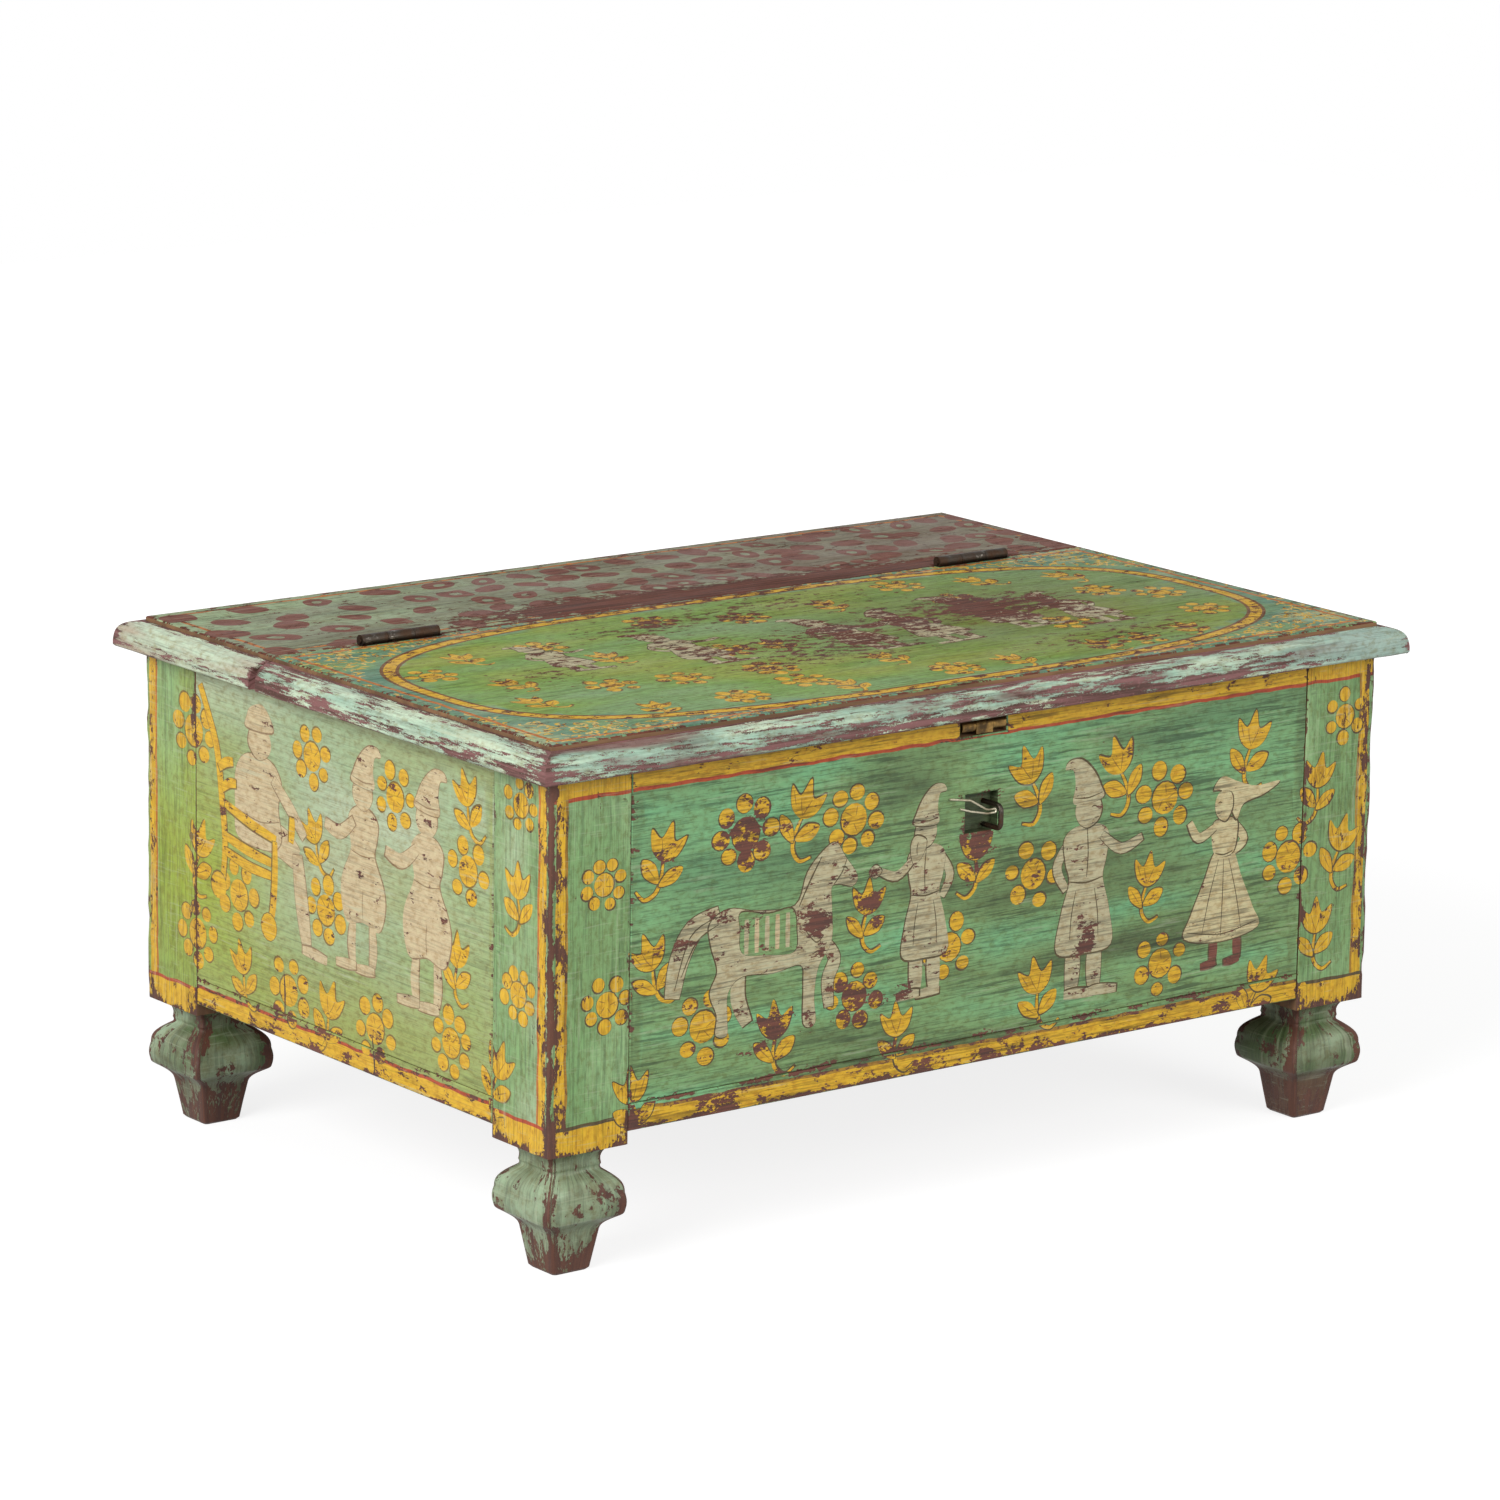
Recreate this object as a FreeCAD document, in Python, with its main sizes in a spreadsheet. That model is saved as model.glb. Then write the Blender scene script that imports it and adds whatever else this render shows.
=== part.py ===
import FreeCAD, Part
import math
import os
import types

import Sketcher

# Low painted trunk: four carved corner posts, panels tongued between them, a fixed
# rear top board and a lid hinged to it. Floor is z = 0, the front faces -Y, and the
# origin is the middle of the footprint. Lengths in millimetres.

SIZES = (
    # name, value, what it measures
    ("body_length", 850.0, "over the outer faces of the posts, left to right"),
    ("body_depth", 580.0, "over the outer faces of the posts, front to rear"),
    ("post_width", 76.0, "square post"),
    ("post_height", 301.0, "square block of the post above its foot"),
    ("sole_width", 36.0, "foot at the floor"),
    ("sole_rounding", 2.0, "bevel round the sole"),
    ("ankle_width", 46.0, "foot at the top of its taper"),
    ("ankle_height", 30.0, "tapered length of the foot"),
    ("spread_width", 69.0, "foot at the top of the lower cove"),
    ("spread_height", 13.0, "height of the lower cove"),
    ("bulb_width", 75.0, "foot at its widest"),
    ("lip_height", 3.0, "bevel under the widest part"),
    ("bulb_height", 16.0, "upright face of the widest part"),
    ("shoulder_height", 19.0, "rounding from the widest part to the neck"),
    ("neck_width", 48.0, "foot at its neck"),
    ("neck_height", 4.0, "upright face of the neck"),
    ("throat_width", 60.0, "upper cove where it meets the post"),
    ("throat_height", 16.0, "height of the upper cove"),
    ("panel_thickness", 22.0, "front, rear and side panels"),
    ("panel_lift", 10.0, "lower edge of the rails above the bottom of the post block"),
    ("tongue_thickness", 12.0, "tongue of a panel in its post"),
    ("tongue_depth", 14.0, "length of the tongue in the post"),
    ("rail_height", 22.0, "strip below each panel"),
    ("peg_diameter", 7.0, "wooden peg through post and tongue"),
    ("peg_length", 30.0, "from the outer face inward"),
    ("bearer_width", 24.0, "bearers that carry the floor"),
    ("bearer_height", 20.0, "bearers that carry the floor"),
    ("floor_thickness", 14.0, "floor boards"),
    ("nail_diameter", 3.0, "cut nails"),
    ("nail_head", 6.5, "head of a cut nail"),
    ("head_thickness", 1.2, "head of a cut nail"),
    ("bearer_nail_length", 38.0, "bearer to rail"),
    ("top_nail_length", 46.0, "rear board to panels"),
    ("batten_nail_length", 34.0, "batten to lid"),
    ("brad_diameter", 2.0, "headless nails in the mouldings"),
    ("brad_length", 38.0, "headless nails in the mouldings"),
    ("brad_sink", 4.0, "brad below the nose of the moulding"),
    ("brad_height", 11.0, "brad above the underside of the moulding"),
    ("top_thickness", 26.0, "lid and rear board"),
    ("joint_offset", 98.0, "joint between lid and rear board, behind the middle"),
    ("joint_gap", 0.6, "gap between lid and rear board"),
    ("overhang", 20.0, "mouldings beyond the posts"),
    ("moulding_height", 22.0, "mouldings, a step below the top"),
    ("nose_height", 5.0, "upright nose of the moulding"),
    ("toe_bevel", 1.2, "lower edge of the nose"),
    ("quirk_width", 3.0, "flat at the top of the moulding"),
    ("joint_bevel", 4.5, "side mouldings at the joint, at their outer edge"),
    ("batten_width", 40.0, "battens under the lid"),
    ("batten_thickness", 18.0, "battens under the lid"),
    ("batten_inset", 195.0, "middle of a batten from the end of the lid panel"),
    ("batten_margin", 14.0, "battens clear of the front panel and short of the joint"),
    ("hinge_inset", 123.0, "middle of a hinge from the end of the lid panel"),
    ("hinge_length", 76.0, "length of leaves and barrel"),
    ("hinge_knuckle", 26.0, "middle knuckle"),
    ("barrel_diameter", 10.0, "hinge barrel"),
    ("barrel_rise", 3.0, "axis of the barrel above the top"),
    ("pin_diameter", 5.0, "hinge pin"),
    ("pin_overlength", 1.5, "pin beyond the barrel, each end"),
    ("leaf_thickness", 1.6, "hinge leaves"),
    ("leaf_height", 18.0, "hinge leaves below the barrel"),
    ("screw_diameter", 3.0, "hinge and hasp screws"),
    ("screw_head", 5.6, "head of a screw, flush with its leaf"),
    ("screw_length", 14.0, "hinge and hasp screws"),
    ("screw_spacing", 25.0, "between the screws of a hinge leaf"),
    ("running_fit", 0.05, "radial clearance of a pin in its knuckle"),
    ("moving_gap", 0.4, "between pieces that move past each other"),
    ("recess_width", 34.0, "square recess for the staple"),
    ("recess_height", 32.0, "square recess for the staple"),
    ("recess_depth", 10.0, "square recess for the staple"),
    ("recess_drop", 82.0, "middle of the recess below the top of the panel"),
    ("staple_place", 9.0, "staple to the right of the middle"),
    ("staple_drop", 3.0, "middle of the staple below the middle of the recess"),
    ("staple_height", 19.0, "between the middles of its legs"),
    ("staple_reach", 13.0, "middle of its outer bar in front of the panel"),
    ("staple_diameter", 4.4, "bar of the staple"),
    ("staple_bend", 5.0, "bend of the staple at its middle line"),
    ("wire_diameter", 1.6, "keeper wire"),
    ("wire_bend", 1.5, "tight bend of the keeper wire at its middle line"),
    ("wire_soft_bend", 9.0, "slack bends of its legs at their middle line"),
    ("wire_nose", 4.5, "tight bend beyond the staple"),
    ("wire_grip", 4.5, "from the staple to where the legs part"),
    ("wire_knee", 22.0, "from the staple to the bends of the legs"),
    ("upper_knee_rise", 10.0, "upper leg from the staple to its bend"),
    ("upper_tip_run", 21.5, "upper leg beyond its bend"),
    ("upper_tip_rise", 3.7, "upper leg from its bend to its tip"),
    ("lower_knee_rise", 4.0, "lower leg from the staple to its bend"),
    ("lower_tip_run", 10.5, "lower leg beyond its bend"),
    ("lower_tip_rise", 3.3, "lower leg from its bend to its tip"),
    ("notch_width", 48.0, "notch for the hasp hinge in the front panel"),
    ("notch_depth", 18.0, "notch for the hasp hinge in the front panel"),
    ("hasp_length", 45.0, "barrel of the hasp hinge"),
    ("hasp_knuckle", 17.0, "middle knuckle of the hasp hinge"),
    ("hasp_barrel", 9.0, "barrel of the hasp hinge"),
    ("hasp_drop", 10.5, "axis of the hasp hinge below the lid"),
    ("hasp_inset", 3.5, "axis of the hasp hinge behind the front face"),
    ("hasp_pin", 4.0, "pin of the hasp hinge"),
    ("hasp_leaf", 24.0, "leaf of the hasp hinge, front to rear"),
    ("hasp_screw_spacing", 26.0, "between the screws of the hasp leaf"),
    ("stub_length", 6.0, "broken tongue below the axis"),
    ("overrun", 1.0, "cutting bodies beyond the face they cut"),
)

# Shares: radius of an arc over its chord, and places along a length.
COVE_RADIUS_SHARE = 0.80
SHOULDER_RADIUS_SHARE = 0.82
OVOLO_RADIUS_SHARE = 0.72
PEG_HEIGHT_SHARES = (0.45, 0.9)
BEARER_NAIL_SHARES = (-0.6, 0.0, 0.6)
BEARER_NAIL_HEIGHT_SHARE = 0.3
FLOOR_NAIL_BITE_SHARE = 0.5
REAR_NAIL_SHARES = (-0.6, 0.0, 0.6)
BATTEN_NAIL_SHARES = (0.12, 0.5, 0.88)
LONG_BRAD_SHARES = (-0.75, -0.25, 0.25, 0.75)
LID_SIDE_BRAD_SHARES = (0.15, 0.5, 0.85)
REAR_SIDE_BRAD_SHARES = (0.25, 0.75)
FLOOR_BOARDS = 4
OUTER_BOARD_NAIL_SHARES = (0.62, 0.9)
INNER_BOARD_NAIL_SHARES = (0.1, 0.9)
LEAF_SCREW_SHARES = (-1, 0, 1)
HASP_SCREW_SHARES = (-0.5, 0.5)
TIGHT_BEND_SHARE = 0.98

LONG_SIDES = ("front", "rear")
SHORT_SIDES = ("left", "right")
SIDES = LONG_SIDES + SHORT_SIDES
CORNERS = (("front", "left"), ("front", "right"), ("rear", "left"), ("rear", "right"))

doc = FreeCAD.newDocument("painted_trunk")
NODES = []


# Sizes that carry both their value and the expression that gives it.
class Size:
    def __init__(self, value, text):
        self.value = value
        self.text = text

    def __add__(self, other):
        other = as_size(other)
        return Size(self.value + other.value, f"({self.text} + {other.text})")

    def __sub__(self, other):
        other = as_size(other)
        return Size(self.value - other.value, f"({self.text} - {other.text})")

    def __mul__(self, share):
        return Size(self.value * share, f"({self.text} * {share})")

    def __truediv__(self, count):
        return Size(self.value / count, f"({self.text} / {count})")

    def __neg__(self):
        return Size(-self.value, f"(-1 * {self.text})")


def as_size(number):
    return number if isinstance(number, Size) else Size(number, str(number))


def chord(run, rise):
    text = f"sqrt({run.text} * {run.text} + {rise.text} * {rise.text})"
    return Size(math.hypot(run.value, rise.value), text)


def write_sheet():
    sheet = doc.addObject("Spreadsheet::Sheet", "sizes")
    for row, (name, value, meaning) in enumerate(SIZES, 1):
        sheet.set(f"A{row}", meaning)
        sheet.set(f"B{row}", str(value))
        sheet.setAlias(f"B{row}", name)
    doc.recompute()
    cells = {name: Size(float(getattr(sheet, name)), f"sizes.{name}") for name, _, _ in SIZES}
    return types.SimpleNamespace(**cells)


s = write_sheet()
ZERO = Size(0, "0")

half_length = s.body_length / 2
half_depth = s.body_depth / 2
inner_length = half_length - s.panel_thickness
inner_depth = half_depth - s.panel_thickness
foot_height = (s.ankle_height + s.spread_height + s.lip_height + s.bulb_height
               + s.shoulder_height + s.neck_height + s.throat_height + s.sole_rounding)
body_top = foot_height + s.post_height
rail_low = foot_height + s.panel_lift
rail_top = rail_low + s.rail_height
floor_low = rail_low + s.bearer_height
floor_top = floor_low + s.floor_thickness
top_face = body_top + s.top_thickness
lid_edge = s.joint_offset - s.joint_gap / 2
rear_edge = s.joint_offset + s.joint_gap / 2
axis_height = top_face + s.barrel_rise
barrel_radius = s.barrel_diameter / 2
leaf_top = axis_height - barrel_radius - s.moving_gap
leaf_low = leaf_top - s.leaf_height


# Small builders whose sizes are bound to the sheet.
def bind(thing, prop, size):
    thing.setExpression(prop, as_size(size).text)


def seat(thing, place, turn=FreeCAD.Rotation()):
    thing.Placement = FreeCAD.Placement(FreeCAD.Vector(), turn)
    for axis, size in zip("xyz", place):
        bind(thing, f"Placement.Base.{axis}", size)


def block(label, low, high):
    solid = doc.addObject("Part::Box", label)
    for prop, start, end in zip(("Length", "Width", "Height"), low, high):
        bind(solid, prop, end - start)
    seat(solid, low)
    return solid


UPRIGHT = FreeCAD.Rotation()
TURNS = {
    "x": FreeCAD.Rotation(FreeCAD.Vector(0, 1, 0), 90),
    "-x": FreeCAD.Rotation(FreeCAD.Vector(0, 1, 0), -90),
    "y": FreeCAD.Rotation(FreeCAD.Vector(1, 0, 0), -90),
    "-y": FreeCAD.Rotation(FreeCAD.Vector(1, 0, 0), 90),
    "z": UPRIGHT,
    "-z": FreeCAD.Rotation(FreeCAD.Vector(1, 0, 0), 180),
}


def rod(label, start, way, length, diameter):
    solid = doc.addObject("Part::Cylinder", label)
    bind(solid, "Radius", diameter / 2)
    bind(solid, "Height", length)
    seat(solid, start, TURNS[way])
    return solid


def taper(label, start, way, length, wide, narrow):
    solid = doc.addObject("Part::Cone", label)
    bind(solid, "Radius1", wide / 2)
    bind(solid, "Radius2", narrow / 2)
    bind(solid, "Height", length)
    seat(solid, start, TURNS[way])
    return solid


def join(label, pieces):
    solid = doc.addObject("Part::MultiFuse", label)
    solid.Shapes = pieces
    solid.Refine = True
    return solid


def overlap(label, pieces):
    solid = doc.addObject("Part::MultiCommon", label)
    solid.Shapes = pieces
    return solid


def group(label, pieces):
    solids = doc.addObject("Part::Compound", label)
    solids.Links = pieces
    return solids


def carve(label, base, tools):
    solid = doc.addObject("Part::Cut", label)
    solid.Base = base
    solid.Tool = tools[0] if len(tools) == 1 else join(f"{label}_cuts", tools)
    return solid


def node(label, thing):
    thing.Label = label
    NODES.append(thing)
    return thing


# Sketched outlines. A point is (across, up) or (across, up, turn, radius): an arc then
# runs from it to the next point, turning "left" or "right".
PLANES = {
    "xy": UPRIGHT,
    "yz": FreeCAD.Rotation(FreeCAD.Vector(0, 1, 0), FreeCAD.Vector(0, 0, 1), FreeCAD.Vector(1, 0, 0), "ZXY"),
    "xz": FreeCAD.Rotation(FreeCAD.Vector(1, 0, 0), FreeCAD.Vector(0, 0, 1), FreeCAD.Vector(0, -1, 0), "ZXY"),
}
START, END = range(1, 3)
UP_AXIS, ORIGIN = range(-2, 0)


def flat(point):
    return FreeCAD.Vector(point[0].value, point[1].value, 0)


def arc_between(start, end, turn, radius):
    first, last = (start, end) if turn == "left" else (end, start)
    along = last - first
    rise = math.sqrt(radius ** 2 - (along.Length / 2) ** 2)
    side = FreeCAD.Vector(-along.y, along.x, 0).normalize()
    middle = (first + last) / 2 + side * rise
    angles = [math.atan2(point.y - middle.y, point.x - middle.x) for point in (first, last)]
    if angles[1] < angles[0]:
        angles[1] += 2 * math.pi
    circle = Part.Circle(middle, FreeCAD.Vector(0, 0, 1), radius)
    return Part.ArcOfCircle(circle, *angles)


def hold_point(sketch, edge, end, across, up):
    for kind, axis, size in (("DistanceX", UP_AXIS, across), ("DistanceY", ORIGIN, up)):
        if size is ZERO:
            sketch.addConstraint(Sketcher.Constraint("PointOnObject", edge, end, axis))
            continue
        held = Sketcher.Constraint(kind, ORIGIN, START, edge, end, size.value)
        bind(sketch, f"Constraints[{sketch.addConstraint(held)}]", size)


def outline(label, plane, points, place=(ZERO, ZERO, ZERO)):
    sketch = doc.addObject("Sketcher::SketchObject", label)
    seat(sketch, place, PLANES[plane])
    ends = []
    for point, following in zip(points, points[1:] + points[:1]):
        start, end = flat(point), flat(following)
        if len(point) == 2:
            sketch.addGeometry(Part.LineSegment(start, end))
            ends.append((START, END))
            continue
        turn, radius = point[2:]
        edge = sketch.addGeometry(arc_between(start, end, turn, radius.value))
        held = sketch.addConstraint(Sketcher.Constraint("Radius", edge, radius.value))
        bind(sketch, f"Constraints[{held}]", radius)
        ends.append((START, END) if turn == "left" else (END, START))
    for edge, point in enumerate(points):
        sketch.addConstraint(Sketcher.Constraint("Coincident", edge - 1 if edge else len(points) - 1,
                                                 ends[edge - 1][1], edge, ends[edge][0]))
        hold_point(sketch, edge, ends[edge][0], *point[:2])
    return sketch


def extrude(label, sketch, back, ahead):
    solid = doc.addObject("Part::Extrusion", label)
    solid.Base = sketch
    solid.DirMode = "Normal"
    solid.Solid = True
    bind(solid, "LengthFwd", ahead)
    bind(solid, "LengthRev", back)
    return solid


# Places on a side: along it from its middle, and inward from its outer face.
def on_side(side, along, depth):
    return {
        "front": (along, depth - half_depth),
        "rear": (along, half_depth - depth),
        "left": (depth - half_length, along),
        "right": (half_length - depth, along),
    }[side]


INWARD = {"front": "y", "rear": "-y", "left": "x", "right": "-x"}
OUTWARD = {"front": "-y", "rear": "y", "left": "-x", "right": "x"}


def block_between(label, first, last, heights):
    xs, ys = (sorted(pair, key=lambda size: size.value) for pair in zip(first, last))
    return block(label, (xs[0], ys[0], heights[0]), (xs[1], ys[1], heights[1]))


def side_block(label, side, along, depths, heights):
    first, last = (on_side(side, run, depth) for run, depth in zip(along, depths))
    return block_between(label, first, last, heights)


def side_rod(label, side, along, depth, height, length, diameter, ways=INWARD):
    return rod(label, (*on_side(side, along, depth), height), ways[side], length, diameter)


def run_between_posts(side):
    return (half_length if side in LONG_SIDES else half_depth) - s.post_width


def mirrored(side, size):
    return -size if side in ("front", "left") else size


# Pegs through the posts and the tongues of panels and rails.
tongue_inset = (s.panel_thickness - s.tongue_thickness) / 2
panel_peg_heights = [rail_top + (body_top - rail_top) * share for share in PEG_HEIGHT_SHARES]
rail_peg_height = rail_low + s.rail_height / 2


def pegs_of_joint(side, end):
    along = mirrored(end, run_between_posts(side) + s.tongue_depth / 2)
    heights = [rail_peg_height] + panel_peg_heights
    return [side_rod(f"peg_{side}_{end}_{rank}", side, along, ZERO, height, s.peg_length, s.peg_diameter)
            for rank, height in enumerate(heights)]


def ends_of(side):
    return SHORT_SIDES if side in LONG_SIDES else LONG_SIDES


pegs = {(side, end): pegs_of_joint(side, end) for side in SIDES for end in ends_of(side)}


def tongue(label, side, low, high):
    reach = run_between_posts(side) + s.tongue_depth
    depths = (tongue_inset, tongue_inset + s.tongue_thickness)
    return side_block(label, side, (-reach, reach), depths, (low, high))


grooves = {side: tongue(f"groove_{side}", side, rail_low, body_top + s.overrun) for side in SIDES}


# Corner posts with their feet: one profile extruded both ways, where both overlap.
def post_profile():
    spread = chord((s.spread_width - s.ankle_width) / 2, s.spread_height)
    shoulder = chord((s.bulb_width - s.neck_width) / 2, s.shoulder_height)
    throat = chord((s.throat_width - s.neck_width) / 2, s.throat_height)
    levels = [ZERO]
    for step in (s.sole_rounding, s.ankle_height, s.spread_height, s.lip_height, s.bulb_height,
                 s.shoulder_height, s.neck_height, s.throat_height):
        levels.append(levels[-1] + step)
    right = [
        (s.sole_width / 2 - s.sole_rounding, ZERO),
        (s.sole_width / 2, levels[1]),
        (s.ankle_width / 2, levels[2], "right", spread * COVE_RADIUS_SHARE),
        (s.spread_width / 2, levels[3]),
        (s.bulb_width / 2, levels[4]),
        (s.bulb_width / 2, levels[5], "left", shoulder * SHOULDER_RADIUS_SHARE),
        (s.neck_width / 2, levels[6]),
        (s.neck_width / 2, levels[7], "right", throat * COVE_RADIUS_SHARE),
        (s.throat_width / 2, levels[8]),
        (s.post_width / 2, foot_height),
        (s.post_width / 2, body_top),
    ]
    left = []
    for rank in range(len(right) - 1, -1, -1):
        across, up = right[rank][:2]
        bend = right[rank - 1][2:] if rank else ()
        left.append((-across, up, *bend))
    return right + left


def post(row, end):
    label = f"post_{row}_{end}"
    half = s.post_width / 2
    middle = (mirrored(end, half_length - half), mirrored(row, half_depth - half), ZERO)
    halves = []
    for plane in ("xz", "yz"):
        profile = outline(f"{label}_profile_{plane}", plane, post_profile(), middle)
        halves.append(extrude(f"{label}_{plane}", profile, half, half))
    tools = [grooves[row], grooves[end]] + pegs[row, end] + pegs[end, row]
    return node(label, carve(label, overlap(f"{label}_solid", halves), tools))


def post_space(row, end):
    corner = (mirrored(end, half_length), mirrored(row, half_depth))
    inner = (mirrored(end, half_length - s.post_width), mirrored(row, half_depth - s.post_width))
    return block_between(f"space_{row}_{end}", corner, inner, (ZERO, body_top))


# Panels and the rails below them.
def tongued_board(label, side, low, high):
    run = run_between_posts(side)
    board = side_block(f"{label}_board", side, (-run, run), (ZERO, s.panel_thickness), (low, high))
    return join(f"{label}_tongued", [board, tongue(f"{label}_tongue", side, low, high)])


def panel_pegs(side, first, last):
    return [peg for end in ends_of(side) for peg in pegs[side, end][first:last]]


def panel(side, cuts):
    label = f"{side}_panel"
    board = tongued_board(label, side, rail_top, body_top)
    return node(label, carve(label, board, panel_pegs(side, 1, None) + cuts))


def rail(side):
    label = f"{side}_rail"
    board = tongued_board(label, side, rail_low, rail_top)
    return node(label, carve(label, board, panel_pegs(side, 0, 1) + bearer_nails[side]))


# Bearers and floor boards.
def nails_of_bearer(side):
    run = run_between_posts(side)
    depth = s.panel_thickness + s.bearer_width
    height = rail_low + s.bearer_height * BEARER_NAIL_HEIGHT_SHARE
    return [side_rod(f"bearer_nail_{side}_{rank}", side, run * share, depth, height,
                     s.bearer_nail_length, s.nail_diameter, OUTWARD)
            for rank, share in enumerate(BEARER_NAIL_SHARES)]


bearer_nails = {side: nails_of_bearer(side) for side in SIDES}


def bearer(side):
    label = f"{side}_bearer"
    run = run_between_posts(side)
    depths = (s.panel_thickness, s.panel_thickness + s.bearer_width)
    strip = side_block(f"{label}_strip", side, (-run, run), depths, (rail_low, floor_low))
    tools = bearer_nails[side] + (floor_nails if side in SHORT_SIDES else [])
    return node(label, carve(label, strip, tools))


def headed_nail(label, start, way, length):
    head = rod(f"{label}_head", start, way, s.head_thickness, s.nail_head)
    shank = rod(f"{label}_shank", start, way, length, s.nail_diameter)
    return join(label, [head, shank])


board_width = inner_depth * 2 / FLOOR_BOARDS


def board_edge(rank):
    return board_width * rank - inner_depth


def nail_shares(rank):
    if rank == 0:
        return OUTER_BOARD_NAIL_SHARES
    if rank == FLOOR_BOARDS - 1:
        return tuple(1 - share for share in OUTER_BOARD_NAIL_SHARES)
    return INNER_BOARD_NAIL_SHARES


def nails_of_board(rank):
    length = s.floor_thickness + s.bearer_height * FLOOR_NAIL_BITE_SHARE
    nails = []
    for end in SHORT_SIDES:
        across = mirrored(end, inner_length - s.bearer_width / 2)
        for place, share in enumerate(nail_shares(rank)):
            start = (across, board_edge(rank) + board_width * share, floor_top)
            nails.append(headed_nail(f"floor_nail_{rank}_{end}_{place}", start, "-z", length))
    return nails


floor_nails_of = [nails_of_board(rank) for rank in range(FLOOR_BOARDS)]
floor_nails = [nail for nails in floor_nails_of for nail in nails]


def floor_board(rank, spaces):
    label = f"floor_board_{rank + 1}"
    low = (-inner_length, board_edge(rank), floor_low)
    high = (inner_length, board_edge(rank + 1), floor_top)
    return node(label, carve(label, block(f"{label}_plank", low, high), floor_nails_of[rank] + spaces))


# Mouldings: the profile run along a side, mitred by its outline seen from above.
def moulding_profile(across):
    nose = body_top + s.nose_height
    crest = body_top + s.moulding_height
    arc = chord(s.overhang - s.quirk_width, s.moulding_height - s.nose_height) * OVOLO_RADIUS_SHARE
    outward_left = across(s.overhang).value > across(ZERO).value
    return [
        (across(ZERO), body_top),
        (across(s.overhang - s.toe_bevel), body_top),
        (across(s.overhang), body_top + s.toe_bevel),
        (across(s.overhang), nose, "left" if outward_left else "right", arc),
        (across(s.quirk_width), crest),
        (across(ZERO), crest),
    ]


def moulding(label, side, plan, brads):
    def across(size):
        return mirrored(side, (half_depth if side in LONG_SIDES else half_length) + size)

    plane = "yz" if side in LONG_SIDES else "xz"
    profile = outline(f"{label}_profile", plane, moulding_profile(across))
    run = half_length + half_depth
    strip = extrude(f"{label}_strip", profile, run, run)
    seen_above = outline(f"{label}_plan", "xy", plan)
    prism = extrude(f"{label}_prism", seen_above, ZERO, top_face)
    return node(label, carve(label, overlap(f"{label}_solid", [strip, prism]), brads))


outer_length = half_length + s.overhang
outer_depth = half_depth + s.overhang


def long_plan(side):
    inner, outer = mirrored(side, half_depth), mirrored(side, outer_depth)
    return [(-outer_length, outer), (outer_length, outer), (half_length, inner), (-half_length, inner)]


def short_plan(side, row):
    inner, outer = mirrored(side, half_length), mirrored(side, outer_length)
    edge = lid_edge if row == "front" else rear_edge
    bevelled = edge + mirrored(row, s.joint_bevel)
    return [(outer, mirrored(row, outer_depth)), (outer, bevelled), (inner, edge),
            (inner, mirrored(row, half_depth))]


def brads_along(side, row, places):
    height = body_top + s.brad_height
    return [side_rod(f"brad_{row}_{side}_{rank}", side, place, s.brad_sink - s.overhang, height,
                     s.brad_length, s.brad_diameter)
            for rank, place in enumerate(places)]


def side_places(low, high, shares):
    return [low + (high - low) * share for share in shares]


long_places = [half_length * share for share in LONG_BRAD_SHARES]
lid_side_places = side_places(-half_depth, lid_edge, LID_SIDE_BRAD_SHARES)
rear_side_places = side_places(rear_edge, half_depth, REAR_SIDE_BRAD_SHARES)
lid_brads = {"front": brads_along("front", "lid", long_places)}
rear_brads = {"rear": brads_along("rear", "rear", long_places)}
for short in SHORT_SIDES:
    lid_brads[short] = brads_along(short, "lid", lid_side_places)
    rear_brads[short] = brads_along(short, "rear", rear_side_places)


def all_of(pieces_by_side):
    return [piece for pieces in pieces_by_side.values() for piece in pieces]


# Hinges: leaves let into the facing edges, barrel above them.
HINGE_ENDS = {end: mirrored(end, half_length - s.hinge_inset) for end in SHORT_SIDES}


def countersunk(label, start, way):
    head = taper(f"{label}_head", start, way, s.leaf_thickness, s.screw_head, s.screw_diameter)
    shank = rod(f"{label}_shank", start, way, s.screw_length, s.screw_diameter)
    return join(label, [head, shank])


def leaf_screws(row, end, way, edge):
    height = leaf_top - s.leaf_height / 2
    places = [HINGE_ENDS[end] + s.screw_spacing * share for share in LEAF_SCREW_SHARES]
    return [countersunk(f"{row}_screw_{end}_{rank}", (place, edge, height), way)
            for rank, place in enumerate(places)]


lid_screws = {end: leaf_screws("lid", end, "-y", lid_edge) for end in SHORT_SIDES}
rear_screws = {end: leaf_screws("rear", end, "y", rear_edge) for end in SHORT_SIDES}


def knuckle(label, middle, low, high):
    start = (middle + low, s.joint_offset, axis_height)
    return rod(label, start, "x", high - low, s.barrel_diameter)


def neck(label, middle, low, high, ys):
    return block(label, (middle + low, ys[0], leaf_top - s.overrun), (middle + high, ys[1], axis_height))


def hinge_leaf(label, end, ys, spans, screws):
    middle = HINGE_ENDS[end]
    half = s.hinge_length / 2
    pieces = [block(f"{label}_plate", (middle - half, ys[0], leaf_low), (middle + half, ys[1], leaf_top))]
    for rank, (low, high) in enumerate(spans):
        pieces.append(knuckle(f"{label}_knuckle_{rank}", middle, low, high))
        pieces.append(neck(f"{label}_neck_{rank}", middle, low, high, ys))
    bore = rod(f"{label}_bore", (middle - half - s.overrun, s.joint_offset, axis_height), "x",
               s.hinge_length + s.overrun * 2, s.pin_diameter + s.running_fit * 2)
    return node(label, carve(label, join(f"{label}_solid", pieces), [bore] + screws))


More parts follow.
